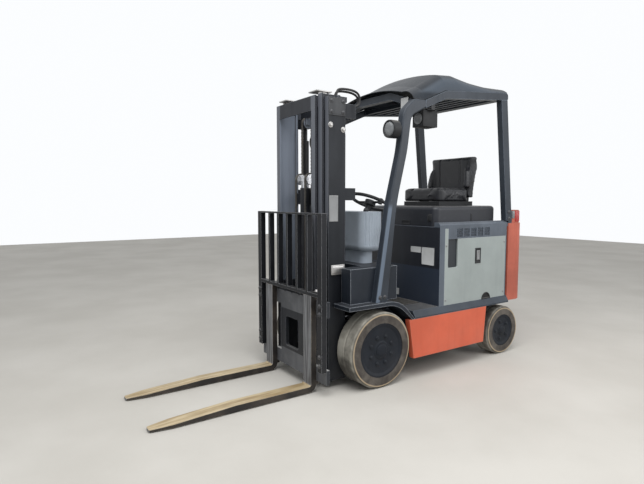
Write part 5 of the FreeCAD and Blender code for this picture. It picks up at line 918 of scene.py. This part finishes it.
# dark scale and painted shade: the base colour of the sides, under the grey front and straw top
scale = fork_steel.blend(patch.rise(0.35, 0.7), (0.018, 0.016, 0.015), (0.052, 0.042, 0.034))
straw = fork_steel.blend(rubbed.rise(0.32, 0.66), (0.285, 0.205, 0.105), (0.520, 0.425, 0.270))
grey = fork_steel.blend(upright_rub.rise(0.36, 0.64), (0.075, 0.078, 0.084), (0.250, 0.258, 0.275))
fork_colour = fork_steel.blend((front_side * (0.55 + 0.5 * patch)).held(), scale, grey)
fork_colour = fork_steel.blend((top_side * (0.75 + 0.5 * patch)).held(), fork_colour, straw)
bright_edge = (fork_steel.edges(0.005) * patch.rise(0.35, 0.55) * 0.7).held()
fork_colour = fork_steel.blend(bright_edge, fork_colour, (0.50, 0.46, 0.38))
fork_steel.complete(fork_colour, (0.42 + 0.25 * patch).held(), rubbed + patch, depth=0.0006,
                    softened=0.003)
coat_nodes(fork_steel.material, "fork_left", "fork_right")
for side, sign in SIDES:
    pin = disc(f"fork_pin_{side}", (sign * 0.270, -0.440, 0.676), (0, 0, 1), 0.014, 0.022, 24)
    stepped(pin, (0, 0, 1), (0.003, 0.002), (0.003, 0.008))
    lever = block(f"fork_pin_lever_{side}", (sign * 0.262, -0.484, 0.680), (sign * 0.278, -0.440, 0.687))
    stepped(lever, (0, -1, 0), (0.002, 0.003))
    joined(pin, lever)
    finished(pin, steel_fittings, "fork_carriage", 0.0015)

# Seat: two foam pads in black vinyl, the back with a bolster down each side. Each is blown up a
# little, drawn in along two sewn channels, and flat where it rests on the pan.
vinyl = moulded("seat_vinyl", (0.014, 0.015, 0.019), 0.27, grain=260, depth=0.0005, dust=0.04, shine=0.5)
CHANNEL_X, CHANNEL_HALF, CHANNEL_DEPTH = 0.115, 0.006, 0.007
START_SHARE, AIR_PRESSURE, CLOTH_FRAMES = (0.955, 0.94, 0.94), 4, 20


def seat_pad(name, cad_node, cap, facing):
    """A pad in the place of a CAD node. No point of it is blown further than the cap."""
    low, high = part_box(cad_node)
    middle = (low + high) / 2
    pad = bpy.data.objects.new(name, node[cad_node].data.copy())
    bpy.context.scene.collection.objects.link(pad)
    chosen(pad)
    bpy.ops.object.mode_set(mode="EDIT")
    bpy.ops.mesh.select_all(action="SELECT")
    bpy.ops.mesh.remove_doubles(threshold=0.0002)
    bpy.ops.transform.resize(value=START_SHARE, center_override=middle)
    bpy.ops.object.mode_set(mode="OBJECT")
    modified(pad, "REMESH", mode="VOXEL", voxel_size=0.006)
    modified(pad, "SMOOTH", factor=0.5, iterations=14)
    pad.data.materials.clear()
    pad.data.materials.append(vinyl)
    bpy.ops.object.shade_smooth()
    rest = [vertex.co.copy() for vertex in pad.data.vertices]
    cloth = pad.modifiers.new("blown", "CLOTH")
    cloth.settings.use_pressure = True
    cloth.settings.uniform_pressure_force = AIR_PRESSURE
    cloth.settings.effector_weights.gravity = 0
    for frame_number in range(1, CLOTH_FRAMES + 1):
        bpy.context.scene.frame_set(frame_number)
    shaped = pad.evaluated_get(bpy.context.evaluated_depsgraph_get()).data
    moved = [vertex.co.copy() for vertex in shaped.vertices]
    pad.modifiers.remove(cloth)
    for vertex, start, end in zip(pad.data.vertices, rest, moved):
        step = end - start
        if step.length > cap:
            step = step.normalized() * cap
        vertex.co = start + step
    bpy.context.scene.frame_set(1)
    modified(pad, "SUBSURF", levels=1, render_levels=1)
    towards = [vertex.normal.dot(facing) for vertex in pad.data.vertices]
    for vertex, share in zip(pad.data.vertices, towards):
        if share > 0.5:
            drawn = math.exp(-((abs(vertex.co.x) - CHANNEL_X) / CHANNEL_HALF) ** 2)
            vertex.co -= facing * CHANNEL_DEPTH * drawn
        vertex.co.z = max(vertex.co.z, low.z + 0.001)
    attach(pad, "hood_lid")
    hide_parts(cad_node)


seat_pad("seat_cushion_pad", "seat_cushion", 0.012, Vector((0, 0, 1)))
seat_pad("seat_back_pad", "seat_back", 0.010, Vector((0, -1, 0)))
